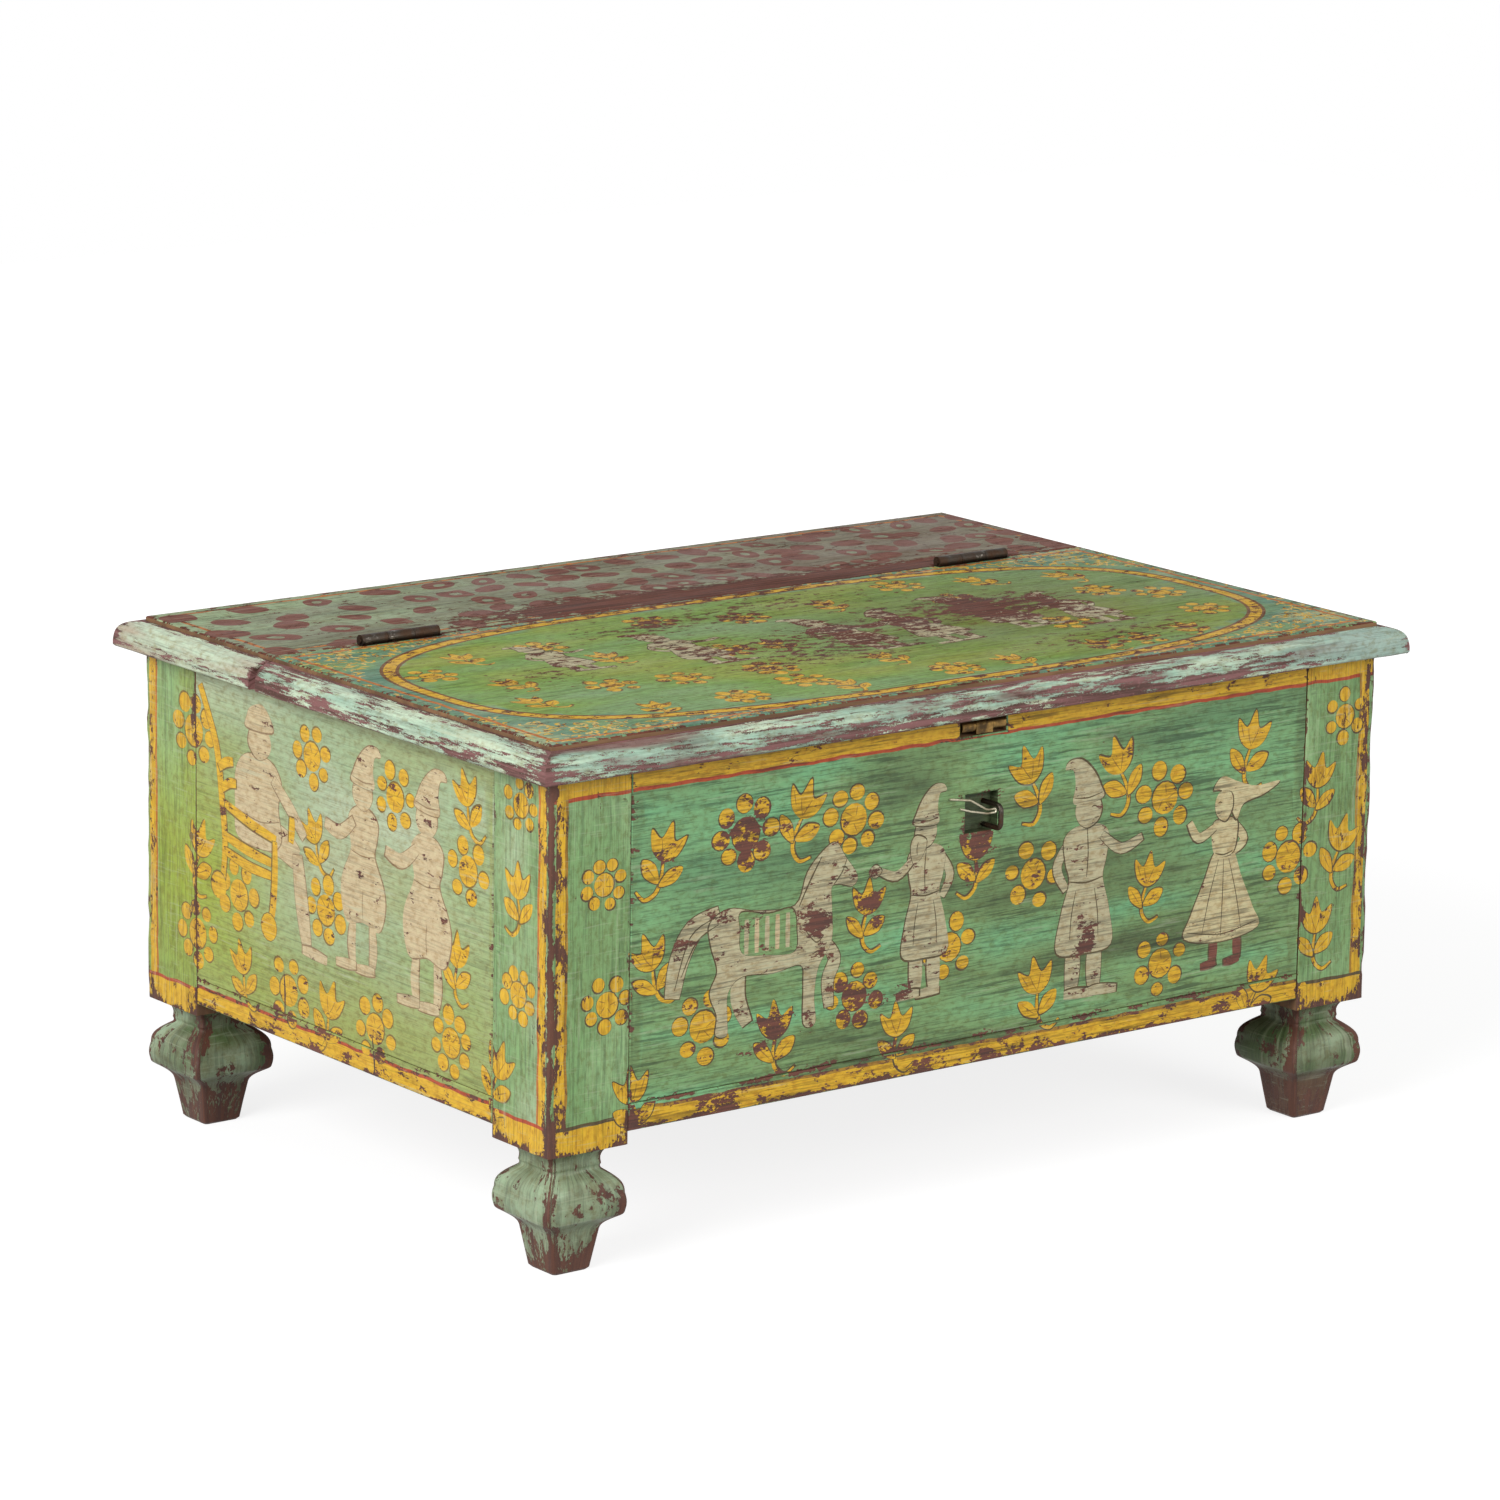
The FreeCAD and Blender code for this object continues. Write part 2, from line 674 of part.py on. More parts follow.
def hinge(end):
    half = s.hinge_length / 2
    inner = s.hinge_knuckle / 2
    outer = inner + s.moving_gap
    hinge_leaf(f"hinge_{end}_lid_leaf", end, (lid_edge - s.leaf_thickness, lid_edge), [(-inner, inner)],
               lid_screws[end])
    hinge_leaf(f"hinge_{end}_rear_leaf", end, (rear_edge, rear_edge + s.leaf_thickness),
               [(-half, -outer), (outer, half)], rear_screws[end])
    start = (HINGE_ENDS[end] - half - s.pin_overlength, s.joint_offset, axis_height)
    pin = rod(f"hinge_{end}_pin_rod", start, "x", s.hinge_length + s.pin_overlength * 2, s.pin_diameter)
    node(f"hinge_{end}_pin", pin)


def hinge_cuts(end, row):
    middle = HINGE_ENDS[end]
    half = s.hinge_length / 2
    clear = half + s.pin_overlength + s.moving_gap
    reach = barrel_radius + s.moving_gap
    if row == "lid":
        leaf_ys = (lid_edge - s.leaf_thickness, lid_edge + s.overrun)
        barrel_ys = (s.joint_offset - reach, lid_edge + s.overrun)
    else:
        leaf_ys = (rear_edge - s.overrun, rear_edge + s.leaf_thickness)
        barrel_ys = (rear_edge - s.overrun, s.joint_offset + reach)
    over = top_face + s.overrun
    return [
        block(f"{row}_{end}_leaf_cut", (middle - half, leaf_ys[0], leaf_low),
              (middle + half, leaf_ys[1], over)),
        block(f"{row}_{end}_barrel_cut", (middle - clear, barrel_ys[0], leaf_top),
              (middle + clear, barrel_ys[1], over)),
    ]


# Rear board and lid.
def rear_nails_into(side):
    places = [half_length * share for share in REAR_NAIL_SHARES]
    if side in SHORT_SIDES:
        places = [(rear_edge + half_depth) / 2]
    return [headed_nail(f"rear_nail_{side}_{rank}", (*on_side(side, place, s.panel_thickness / 2), top_face),
                        "-z", s.top_nail_length)
            for rank, place in enumerate(places)]


rear_nails = {side: rear_nails_into(side) for side in ("rear",) + SHORT_SIDES}


def rear_top_board():
    plank = block("rear_top_plank", (-half_length, rear_edge, body_top), (half_length, half_depth, top_face))
    tools = all_of(rear_nails) + all_of(rear_brads) + all_of(rear_screws)
    for end in SHORT_SIDES:
        tools += hinge_cuts(end, "rear")
    return node("rear_top_board", carve("rear_top_board", plank, tools))


batten_place = half_length - s.batten_inset
batten_low = body_top - s.batten_thickness
batten_front = s.batten_margin - inner_depth
batten_rear = lid_edge - s.batten_margin * 2


def nails_of_batten(end):
    across = mirrored(end, batten_place)
    return [headed_nail(f"batten_nail_{end}_{rank}",
                        (across, batten_front + (batten_rear - batten_front) * share, batten_low),
                        "z", s.batten_nail_length)
            for rank, share in enumerate(BATTEN_NAIL_SHARES)]


batten_nails = {end: nails_of_batten(end) for end in SHORT_SIDES}


def batten(end):
    label = f"lid_batten_{end}"
    across = mirrored(end, batten_place)
    half = s.batten_width / 2
    strip = block(f"{label}_strip", (across - half, batten_front, batten_low),
                  (across + half, batten_rear, body_top))
    return node(label, carve(label, strip, batten_nails[end]))


hasp_axis = (s.hasp_inset - half_depth, body_top - s.hasp_drop)
hasp_rear = hasp_axis[0] + s.hasp_barrel / 2
hasp_screws = [countersunk(f"hasp_screw_{rank}",
                           (s.hasp_screw_spacing * share, hasp_rear + s.hasp_leaf / 2, body_top), "z")
               for rank, share in enumerate(HASP_SCREW_SHARES)]


def lid_panel():
    plank = block("lid_plank", (-half_length, -half_depth, body_top), (half_length, lid_edge, top_face))
    half = s.hasp_length / 2
    seat_of_leaf = block("hasp_leaf_cut", (-half, hasp_rear - s.leaf_thickness, body_top - s.overrun),
                         (half, hasp_rear + s.hasp_leaf, body_top + s.leaf_thickness))
    tools = [seat_of_leaf] + all_of(lid_brads) + all_of(lid_screws) + all_of(batten_nails) + hasp_screws
    for end in SHORT_SIDES:
        tools += hinge_cuts(end, "lid")
    return node("lid_panel", carve("lid_panel", plank, tools))


# Hasp hinge left under the lid: leaf, pin and the broken stub of its strap.
def hasp_rod(label, low, high, diameter):
    return rod(label, (low, *hasp_axis), "x", high - low, diameter)


def hasp_bore(label):
    reach = s.hasp_length / 2 + s.overrun
    return hasp_rod(label, -reach, reach, s.hasp_pin + s.running_fit * 2)


def hasp_plate():
    half = s.hasp_length / 2
    inner = s.hasp_knuckle / 2 + s.moving_gap
    plate_top = body_top + s.leaf_thickness
    pieces = [block("hasp_plate_flat", (-half, hasp_rear - s.leaf_thickness, body_top),
                    (half, hasp_rear + s.hasp_leaf, plate_top))]
    for rank, (low, high) in enumerate(((-half, -inner), (inner, half))):
        pieces.append(hasp_rod(f"hasp_knuckle_{rank}", low, high, s.hasp_barrel))
        pieces.append(block(f"hasp_neck_{rank}", (low, hasp_rear - s.leaf_thickness, hasp_axis[1]),
                            (high, hasp_rear, plate_top)))
    solid = join("hasp_plate_solid", pieces)
    return node("hasp_plate", carve("hasp_plate", solid, [hasp_bore("hasp_plate_bore")] + hasp_screws))


def hasp_stub():
    half = s.hasp_knuckle / 2
    front = hasp_axis[0] - s.hasp_barrel / 2
    tongue_block = block("hasp_stub_tongue", (-half, front, hasp_axis[1] - s.stub_length),
                         (half, front + s.leaf_thickness, hasp_axis[1]))
    solid = join("hasp_stub_solid", [hasp_rod("hasp_stub_knuckle", -half, half, s.hasp_barrel), tongue_block])
    return node("hasp_stub", carve("hasp_stub", solid, [hasp_bore("hasp_stub_bore")]))


# Staple and keeper wire: bars bent along a route.
def rounded_route(corners, bends):
    points = [FreeCAD.Vector(*(size.value for size in corner)) for corner in corners]
    edges = []
    start = points[0]
    for corner, following, bend in zip(points[1:-1], points[2:], bends):
        into = (corner - start).normalize()
        away = (following - corner).normalize()
        turn = into.getAngle(away)
        setback = bend.value * math.tan(turn / 2)
        first, last = corner - into * setback, corner + away * setback
        inside = (away - into).normalize()
        middle = corner + inside * (math.hypot(setback, bend.value) - bend.value)
        edges += [Part.LineSegment(start, first).toShape(), Part.Arc(first, middle, last).toShape()]
        start = last
    edges.append(Part.LineSegment(start, points[-1]).toShape())
    return Part.Wire(edges)


def bent_bar(label, corners, bends, diameter):
    route = rounded_route(corners, bends)
    first = route.OrderedEdges[0]
    start = first.FirstParameter
    ring = Part.makeCircle(diameter.value / 2, first.valueAt(start), first.tangentAt(start))
    bar = doc.addObject("Part::Feature", label)
    bar.Shape = route.makePipeShell([Part.Wire(ring)], True, True)
    bar.Placement = FreeCAD.Placement()
    return node(label, bar)


recess_middle = body_top - s.recess_drop
staple_middle = recess_middle - s.staple_drop
staple_levels = (staple_middle - s.staple_height / 2, staple_middle + s.staple_height / 2)


def staple():
    outer = -half_depth - s.staple_reach
    ends = [(s.staple_place, -inner_depth, level) for level in staple_levels]
    bends = [(s.staple_place, outer, level) for level in staple_levels]
    return bent_bar("staple", [ends[0], bends[0], bends[1], ends[1]], [s.staple_bend] * 2, s.staple_diameter)


def front_panel_cuts():
    half = s.recess_width / 2
    heights = (recess_middle - s.recess_height / 2, recess_middle + s.recess_height / 2)
    recess = side_block("staple_recess", "front", (-half, half), (-s.overrun, s.recess_depth), heights)
    notch = side_block("hasp_notch", "front", (-s.notch_width / 2, s.notch_width / 2),
                       (-s.overrun, s.panel_thickness + s.overrun),
                       (body_top - s.notch_depth, body_top + s.overrun))
    legs = [side_rod(f"staple_hole_{rank}", "front", s.staple_place, ZERO, level,
                     s.panel_thickness + s.overrun, s.staple_diameter)
            for rank, level in enumerate(staple_levels)]
    return [recess, notch] + legs


def keeper_wire():
    level = -half_depth - s.wire_diameter / 2 - s.moving_gap
    nose = s.staple_place + s.wire_nose
    grip = s.staple_place - s.wire_grip
    knee = s.staple_place - s.wire_knee
    upper, lower = recess_middle + s.wire_bend, recess_middle - s.wire_bend
    upper_knee = upper + s.upper_knee_rise
    lower_knee = lower + s.lower_knee_rise
    corners = [
        (knee - s.upper_tip_run, level, upper_knee + s.upper_tip_rise),
        (knee, level, upper_knee),
        (grip, level, upper),
        (nose, level, upper),
        (nose, level, lower),
        (grip, level, lower),
        (knee, level, lower_knee),
        (knee - s.lower_tip_run, level, lower_knee + s.lower_tip_rise),
    ]
    tight = s.wire_bend * TIGHT_BEND_SHARE
    soft = s.wire_soft_bend
    return bent_bar("keeper_wire", corners, [soft, soft, tight, tight, soft, soft], s.wire_diameter)



def build():
    for row, end in CORNERS:
        post(row, end)
    for side in SIDES:
        panel(side, front_panel_cuts() if side == "front" else rear_nails[side])
        rail(side)
        bearer(side)
    spaces = {(row, end): post_space(row, end) for row, end in CORNERS}
    for rank in range(FLOOR_BOARDS):
        row = {0: "front", FLOOR_BOARDS - 1: "rear"}.get(rank)
        floor_board(rank, [spaces[row, end] for end in SHORT_SIDES] if row else [])
    rear_top_board()
    moulding("rear_moulding", "rear", long_plan("rear"), rear_brads["rear"])
    lid_panel()
    moulding("lid_front_moulding", "front", long_plan("front"), lid_brads["front"])
    for end in SHORT_SIDES:
        moulding(f"rear_{end}_moulding", end, short_plan(end, "rear"), rear_brads[end])
        moulding(f"lid_{end}_moulding", end, short_plan(end, "front"), lid_brads[end])
        batten(end)
        hinge(end)
    hasp_plate()
    node("hasp_pin", hasp_rod("hasp_pin_rod", -s.hasp_length / 2, s.hasp_length / 2, s.hasp_pin))
    hasp_stub()
    staple()
    keeper_wire()
    node("frame_pegs", group("frame_pegs", all_of(pegs)))
    node("bearer_nails", group("bearer_nails", all_of(bearer_nails)))
    node("floor_nails", group("floor_nails", floor_nails))
    node("rear_board_nails", group("rear_board_nails", all_of(rear_nails)))
    node("batten_nails", group("batten_nails", all_of(batten_nails)))
    node("lid_brads", group("lid_brads", all_of(lid_brads)))
    node("rear_brads", group("rear_brads", all_of(rear_brads)))
    node("lid_hinge_screws", group("lid_hinge_screws", all_of(lid_screws)))
    node("rear_hinge_screws", group("rear_hinge_screws", all_of(rear_screws)))
    node("hasp_screws", group("hasp_screws", hasp_screws))


def check():
    doc.recompute()
    wrong = [thing.Label for thing in doc.Objects if {"Invalid", "Error"} & set(thing.State)]
    for thing in NODES:
        if thing.Shape.isNull() or not thing.Shape.isValid() or not thing.Shape.Solids:
            wrong.append(thing.Label)
    if wrong:
        raise RuntimeError(f"faulty objects: {wrong}")


def export():
    os.makedirs("parts", exist_ok=True)
    for thing in NODES:
        thing.Shape.exportStep(f"parts/{thing.Label}.step")


build()
check()
export()
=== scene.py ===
import math
import random

import bpy
import numpy as np
from mathutils import Matrix, Vector, geometry, noise


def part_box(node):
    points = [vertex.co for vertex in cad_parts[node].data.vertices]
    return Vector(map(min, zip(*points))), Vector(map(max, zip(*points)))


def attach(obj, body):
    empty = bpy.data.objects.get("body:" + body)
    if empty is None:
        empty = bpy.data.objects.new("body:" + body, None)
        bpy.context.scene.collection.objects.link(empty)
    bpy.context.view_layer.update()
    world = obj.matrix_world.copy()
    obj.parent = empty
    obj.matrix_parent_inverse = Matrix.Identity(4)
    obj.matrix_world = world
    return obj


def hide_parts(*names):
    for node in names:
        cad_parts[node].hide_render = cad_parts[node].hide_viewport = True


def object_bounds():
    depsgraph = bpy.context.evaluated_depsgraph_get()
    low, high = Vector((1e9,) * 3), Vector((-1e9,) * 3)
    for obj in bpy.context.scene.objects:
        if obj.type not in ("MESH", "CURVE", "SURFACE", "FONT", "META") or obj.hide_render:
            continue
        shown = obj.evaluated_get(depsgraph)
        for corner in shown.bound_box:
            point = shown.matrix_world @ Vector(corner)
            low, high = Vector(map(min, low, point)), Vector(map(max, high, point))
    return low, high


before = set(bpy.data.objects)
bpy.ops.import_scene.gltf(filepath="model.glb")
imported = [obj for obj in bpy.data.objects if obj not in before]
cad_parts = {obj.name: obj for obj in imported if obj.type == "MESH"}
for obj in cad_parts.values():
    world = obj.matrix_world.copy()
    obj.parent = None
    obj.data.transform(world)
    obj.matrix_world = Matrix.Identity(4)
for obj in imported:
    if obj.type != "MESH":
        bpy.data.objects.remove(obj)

CAD_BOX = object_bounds()

# Low painted trunk with carved feet: folk paint in worn layers over a maroon primer.
# Metres; the front faces -Y, the floor is z = 0. Pixels are places in the photo.


# The curve of eight-bit colours
COLOUR_STEPS = 255
CURVE_START = 0.04045
START_SLOPE = 12.92
CURVE_SHIFT = 0.055
CURVE_POWER = 2.4


def linear(level):
    if level <= CURVE_START:
        return level / START_SLOPE
    return ((level + CURVE_SHIFT) / (1 + CURVE_SHIFT)) ** CURVE_POWER


def tint(red, green, blue):
    """Scene-linear colour of an eight-bit one."""
    return tuple(linear(level / COLOUR_STEPS) for level in (red, green, blue))


# Colours
SAGE = tint(120, 151, 98)
TURQUOISE = tint(116, 174, 126)
OLIVE = tint(80, 98, 60)
# Green paint inside the staple's pocket, darkened as painted shade
POCKET_GREEN_AND_SHADE = tint(72, 84, 56)
POST_GREEN = tint(118, 152, 98)
PALE_POST_GREEN = tint(140, 172, 120)
PALE_SAGE = tint(152, 170, 132)
PALE_OLIVE = tint(146, 154, 96)
LIME = tint(150, 163, 48)
CHALK = tint(178, 186, 158)
LID_GREEN = tint(116, 150, 66)
LID_LIME = tint(138, 152, 60)
SPANDREL = tint(90, 130, 108)
PALE_OCHRE = tint(214, 182, 104)
# Painted light: the left faces of the posts are paler than the front faces, on the side that faces the key
# lamp, over their own green paint
LEFT_POST_GREEN_AND_PAINTED_LIGHT = tint(130, 158, 106)
GREY_MINT = tint(150, 172, 160)
REAR_GREEN = tint(134, 142, 114)
OCHRE = tint(213, 167, 42)
DEEP_OCHRE = tint(160, 120, 42)
ORANGE = tint(186, 110, 44)
RED = tint(172, 72, 40)
BEIGE = tint(182, 172, 138)
PALE_BEIGE = tint(198, 184, 142)
PINK_BEIGE = tint(196, 177, 140)
INK = tint(84, 70, 42)
FAINT_INK = tint(140, 116, 84)
SOFT_INK = tint(122, 100, 46)
RING_BROWN = tint(118, 78, 38)
MAROON = tint(116, 66, 52)
LID_BROWN = tint(102, 108, 24)
REAR_MAUVE = tint(118, 98, 84)
REAR_OLIVE = tint(112, 112, 88)
MINT = tint(146, 174, 154)
PALE_MINT = tint(190, 204, 178)
DUSTY_MINT = tint(180, 192, 168)
MINT_DUST = tint(172, 158, 138)
PALE_LIME = tint(140, 158, 88)
LOW_LIME = tint(146, 154, 78)
MOULDING_BROWN = tint(116, 86, 78)
FOOT_GREEN = tint(118, 128, 98)
FOOT_MINT = tint(142, 158, 128)
FOOT_RUST = tint(88, 56, 34)
PRIMER = tint(104, 62, 50)
DARK_PRIMER = tint(72, 46, 38)
BARE_WOOD = tint(132, 98, 66)
DARK_WOOD = tint(84, 58, 38)

# Camera, from the photo's own lines
PHOTO_SIDE = 1500
CAMERA_PLACE = Vector((-3.116, -4.048, 1.491))
CAMERA_YAW = math.radians(37.47)
CAMERA_PITCH = math.radians(12.94)
CAMERA_ROLL = math.radians(0.893)
CAMERA_LENS = 150.0
CAMERA_FILM = 36.0
PIXELS_AHEAD = PHOTO_SIDE * CAMERA_LENS / CAMERA_FILM


def camera_turn():
    ahead = Vector((math.sin(CAMERA_YAW) * math.cos(CAMERA_PITCH),
                    math.cos(CAMERA_YAW) * math.cos(CAMERA_PITCH), -math.sin(CAMERA_PITCH)))
    right = Vector((math.cos(CAMERA_YAW), -math.sin(CAMERA_YAW), 0))
    up = right.cross(ahead)
    level, tipped = math.cos(CAMERA_ROLL), math.sin(CAMERA_ROLL)
    return Matrix((right * level + up * tipped, up * level - right * tipped, -ahead)).transposed()


CAMERA_TURN = camera_turn()


class Side:
    """A flat face of the trunk: right and up as seen from outside, and its distance from the origin."""

    def __init__(self, right, up, level):
        self.right = Vector(right)
        self.up = Vector(up)
        self.out = self.right.cross(self.up)
        self.level = level

    def solid(self, point, depth=0):
        return self.right * point[0] + self.up * point[1] + self.out * (self.level - depth)

    def flat(self, place):
        return (self.right.dot(place), self.up.dot(place))

    def at_pixel(self, pixel):
        """Where the photo's pixel lies on this face."""
        ray = Vector((pixel[0] - PHOTO_SIDE / 2, PHOTO_SIDE / 2 - pixel[1], -PIXELS_AHEAD))
        ray = CAMERA_TURN @ ray
        reach = (self.level - self.out.dot(CAMERA_PLACE)) / self.out.dot(ray)
        return self.flat(CAMERA_PLACE + ray * reach)


LOW_BODY, HIGH_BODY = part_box("post_front_left")[0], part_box("post_rear_right")[1]
HALF_LENGTH = HIGH_BODY[0]
HALF_DEPTH = HIGH_BODY[1]
BODY_TOP = HIGH_BODY[2]
TOP_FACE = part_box("lid_panel")[1][2]
POST_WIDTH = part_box("post_front_left")[1][0] - LOW_BODY[0]
RAIL_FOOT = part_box("front_rail")[0][2]
POST_FOOT = 0.103
SIDES = {
    "left": Side((0, -1, 0), (0, 0, 1), HALF_LENGTH),
    "front": Side((1, 0, 0), (0, 0, 1), HALF_DEPTH),
    "right": Side((0, 1, 0), (0, 0, 1), HALF_LENGTH),
    "rear": Side((-1, 0, 0), (0, 0, 1), HALF_DEPTH),
    "top": Side((1, 0, 0), (0, 1, 0), TOP_FACE),
}
HALF_SPANS = {"left": HALF_DEPTH, "front": HALF_LENGTH, "right": HALF_DEPTH, "rear": HALF_LENGTH}


# Drawing on a flat face
DISC_SIDES = 14
SPLINE_STEPS = 5
INK_WIDTH = 0.0008
INK_SHIFT = 0.0009
TIP_SHARE = 0.35
LINE_TIP_SHARE = 0.5
LIMB_TIP_SHARE = 0.72
BROAD_TIP_SHARE = 0.8
PETAL_BELLY_SHARE = 0.55


class Shape:
    """A painted area: its outline, its colour and how much more easily than the ground it flakes."""

    def __init__(self, points, coat, frail=0.0, zone=None):
        self.points = points
        self.coat = coat
        self.frail = frail
        self.zone = zone

    def moved(self, shift, zone):
        return Shape([(across + shift, up) for across, up in self.points], self.coat, self.frail, zone)


def disc(middle, radius, flat_share=1.0):
    turns = (math.tau * step / DISC_SIDES for step in range(DISC_SIDES))
    return [(middle[0] + radius * math.cos(turn), middle[1] + radius * flat_share * math.sin(turn))
            for turn in turns]


def blend(start, end, share):
    return tuple(a + (b - a) * share for a, b in zip(start, end))


def spline(points, closed):
    """Points of a smooth line through the given ones."""
    count = len(points)
    line = []
    for rank in range(count if closed else count - 1):
        places = [rank + step for step in (-1, 0, 1, 2)]
        if closed:
            knots = [points[place % count] for place in places]
        else:
            knots = [points[min(max(place, 0), count - 1)] for place in places]
        line += [spline_point(knots, step / SPLINE_STEPS) for step in range(SPLINE_STEPS)]
    if not closed:
        line.append(points[-1])
    return line


def spline_point(knots, share):
    before, start, end, after = knots
    place = []
    for a, b, c, d in zip(before, start, end, after):
        steep = (c - a) * share
        steep += (2 * a - 5 * b + 4 * c - d) * share ** 2
        steep += (3 * b - a - 3 * c + d) * share ** 3
        place.append(b + steep / 2)
    return tuple(place)


def offset_loop(points, by):
    """The loop moved outward, seen counterclockwise."""
    moved = []
    count = len(points)
    for rank, point in enumerate(points):
        before, after = points[rank - 1], points[(rank + 1) % count]
        first = Vector((point[1] - before[1], before[0] - point[0])).normalized()
        second = Vector((after[1] - point[1], point[0] - after[0])).normalized()
        both = first + second
        reach = both.length_squared
        out = both * (2 * by / reach) if reach > 1 else both.normalized() * by
        moved.append((point[0] + out[0], point[1] + out[1]))
    return moved


def loop_area(points):
    """Area of a loop, below zero where it runs clockwise."""
    return sum(a[0] * b[1] - b[0] * a[1] for a, b in zip(points, points[1:] + points[:1])) / 2


def turned_left(points):
    """The loop, counterclockwise."""
    return points if loop_area(points) > 0 else points[::-1]


def ribbon(points, width, tip_share=TIP_SHARE):
    """Outline of a brush line that is thinner at its ends."""
    count = len(points)
    left, right = [], []
    for rank, point in enumerate(points):
        before, after = points[max(rank - 1, 0)], points[min(rank + 1, count - 1)]
        along = Vector((after[0] - before[0], after[1] - before[1])).normalized()
        share = rank / (count - 1)
        half = width / 2 * (tip_share + (1 - tip_share) * math.sin(math.pi * share))
        left.append((point[0] - along[1] * half, point[1] + along[0] * half))
        right.append((point[0] + along[1] * half, point[1] - along[0] * half))
    return turned_left(left + right[::-1])


def petal(foot, tip, width):
    """Lens from foot to tip."""
    middle = blend(foot, tip, PETAL_BELLY_SHARE)
    across = Vector((foot[1] - tip[1], tip[0] - foot[0])).normalized() * (width / 2)
    bellies = [(middle[0] + across[0] * sign, middle[1] + across[1] * sign) for sign in (1, -1)]
    return turned_left(spline([foot, bellies[1], tip, bellies[0]], True))


def inked(points, coat, chance, frail, ink):
    """A painted area over its own dark outline, which was drawn a little out of place."""
    shift = (chance.uniform(-INK_SHIFT, INK_SHIFT), chance.uniform(-INK_SHIFT, INK_SHIFT))
    edge = [(across + shift[0], up + shift[1]) for across, up in offset_loop(points, INK_WIDTH)]
    return [Shape(edge, ink, frail), Shape(points, coat, frail)]


def swung(point, reach, turn):
    return (point[0] + reach * math.cos(turn), point[1] + reach * math.sin(turn))


# Flowers
FLOWER_FRAIL = 0.17
FLOWER_SIZE_SHARES = (0.95, 1.1)
ROSETTE_REACH = 0.0214
ROSETTE_PETAL = 0.0071
ROSETTE_HEART = 0.0125
ROSETTE_PETALS = (6, 7, 7, 8)
PETAL_SWING = 0.08
PETAL_REACH_SHARES = (0.95, 1.08)
PETAL_SIZE_SHARES = (0.88, 1.1)
PETAL_FLAT_SHARES = (0.85, 1.1)
POST_ROSETTE_SHARE = 0.76
SCRIBBLE_WIDTH = 0.0012
SCRIBBLES = 5
SCRIBBLE_SHARES = (0.25, 0.85)
SCRIBBLE_TURN = 0.35
TULIP_BUD = 0.030
TULIP_LEAN = 0.4
STEM_WIDTH = 0.0032
BUD_SHARES = ((0.0, 0.0), (0.40, 0.22), (0.56, 0.74), (0.22, 0.56), (0.02, 1.02), (-0.20, 0.56),
              (-0.56, 0.74), (-0.40, 0.22))
BUD_VEIN_SHARES = (
    ((0.0, 0.08), (0.12, 0.32), (0.18, 0.52)),
    ((0.0, 0.08), (-0.10, 0.32), (-0.17, 0.52)),
    ((0.28, 0.28), (0.38, 0.46), (0.46, 0.62)),
)
BUD_DROP_SHARE = 0.5
STEM_SHARES = ((0.0, 0.05), (0.07, -0.35), (0.02, -0.78), (-0.28, -1.02), (-0.60, -0.86))
LEAF_SHARES = (((0.02, -0.55), (-0.62, -0.06), 0.43), ((0.06, -0.62), (0.66, -0.04), 0.37))
LEAF_VEIN_SHARES = (0.2, 0.5, 0.8)


def scribble(line):
    return Shape(ribbon(line, SCRIBBLE_WIDTH), DEEP_OCHRE, FLOWER_FRAIL)


def rosette(middle, scale, chance, ink=INK):
    """A heart in a ring of round petals."""
    shapes = []
    count = chance.choice(ROSETTE_PETALS)
    first = chance.uniform(0, math.tau)
    for rank in range(count):
        turn = first + math.tau * rank / count + chance.uniform(-PETAL_SWING, PETAL_SWING)
        spot = swung(middle, ROSETTE_REACH * scale * chance.uniform(*PETAL_REACH_SHARES), turn)
        size = ROSETTE_PETAL * scale * chance.uniform(*PETAL_SIZE_SHARES)
        loop = disc(spot, size, chance.uniform(*PETAL_FLAT_SHARES))
        shapes += inked(loop, OCHRE, chance, FLOWER_FRAIL, ink)
    heart = ROSETTE_HEART * scale
    shapes += inked(disc(middle, heart), OCHRE, chance, FLOWER_FRAIL, ink)
    for rank in range(SCRIBBLES):
        turn = first + math.tau * rank / SCRIBBLES
        start = swung(middle, heart * SCRIBBLE_SHARES[0], turn)
        end = swung(middle, heart * SCRIBBLE_SHARES[1], turn + SCRIBBLE_TURN)
        shapes.append(scribble([start, blend(start, end, 0.5), end]))
    return shapes


def tulip(middle, scale, chance, ink=INK):
    """A three-pointed bud over two leaves, on a stem that ends in a hook."""
    lean = chance.uniform(-TULIP_LEAN, TULIP_LEAN)
    hand = chance.choice((-1, 1))
    size = TULIP_BUD * scale
    foot = (middle[0], middle[1] - size * BUD_DROP_SHARE)

    def placed(points):
        spots = []
        for across, up in points:
            far = math.hypot(across, up) * size
            spots.append(swung(foot, far, math.atan2(up, across * hand) + lean))
        return spots

    stem = ribbon(spline(placed(STEM_SHARES), False), STEM_WIDTH * scale, LINE_TIP_SHARE)
    shapes = inked(stem, OCHRE, chance, FLOWER_FRAIL, ink)
    for base, tip, width_share in LEAF_SHARES:
        ends = placed((base, tip))
        shapes += inked(petal(*ends, size * width_share), OCHRE, chance, FLOWER_FRAIL, ink)
        shapes.append(scribble([blend(*ends, share) for share in LEAF_VEIN_SHARES]))
    shapes += inked(turned_left(spline(placed(BUD_SHARES), True)), OCHRE, chance, FLOWER_FRAIL, ink)
    return shapes + [scribble(placed(vein)) for vein in BUD_VEIN_SHARES]


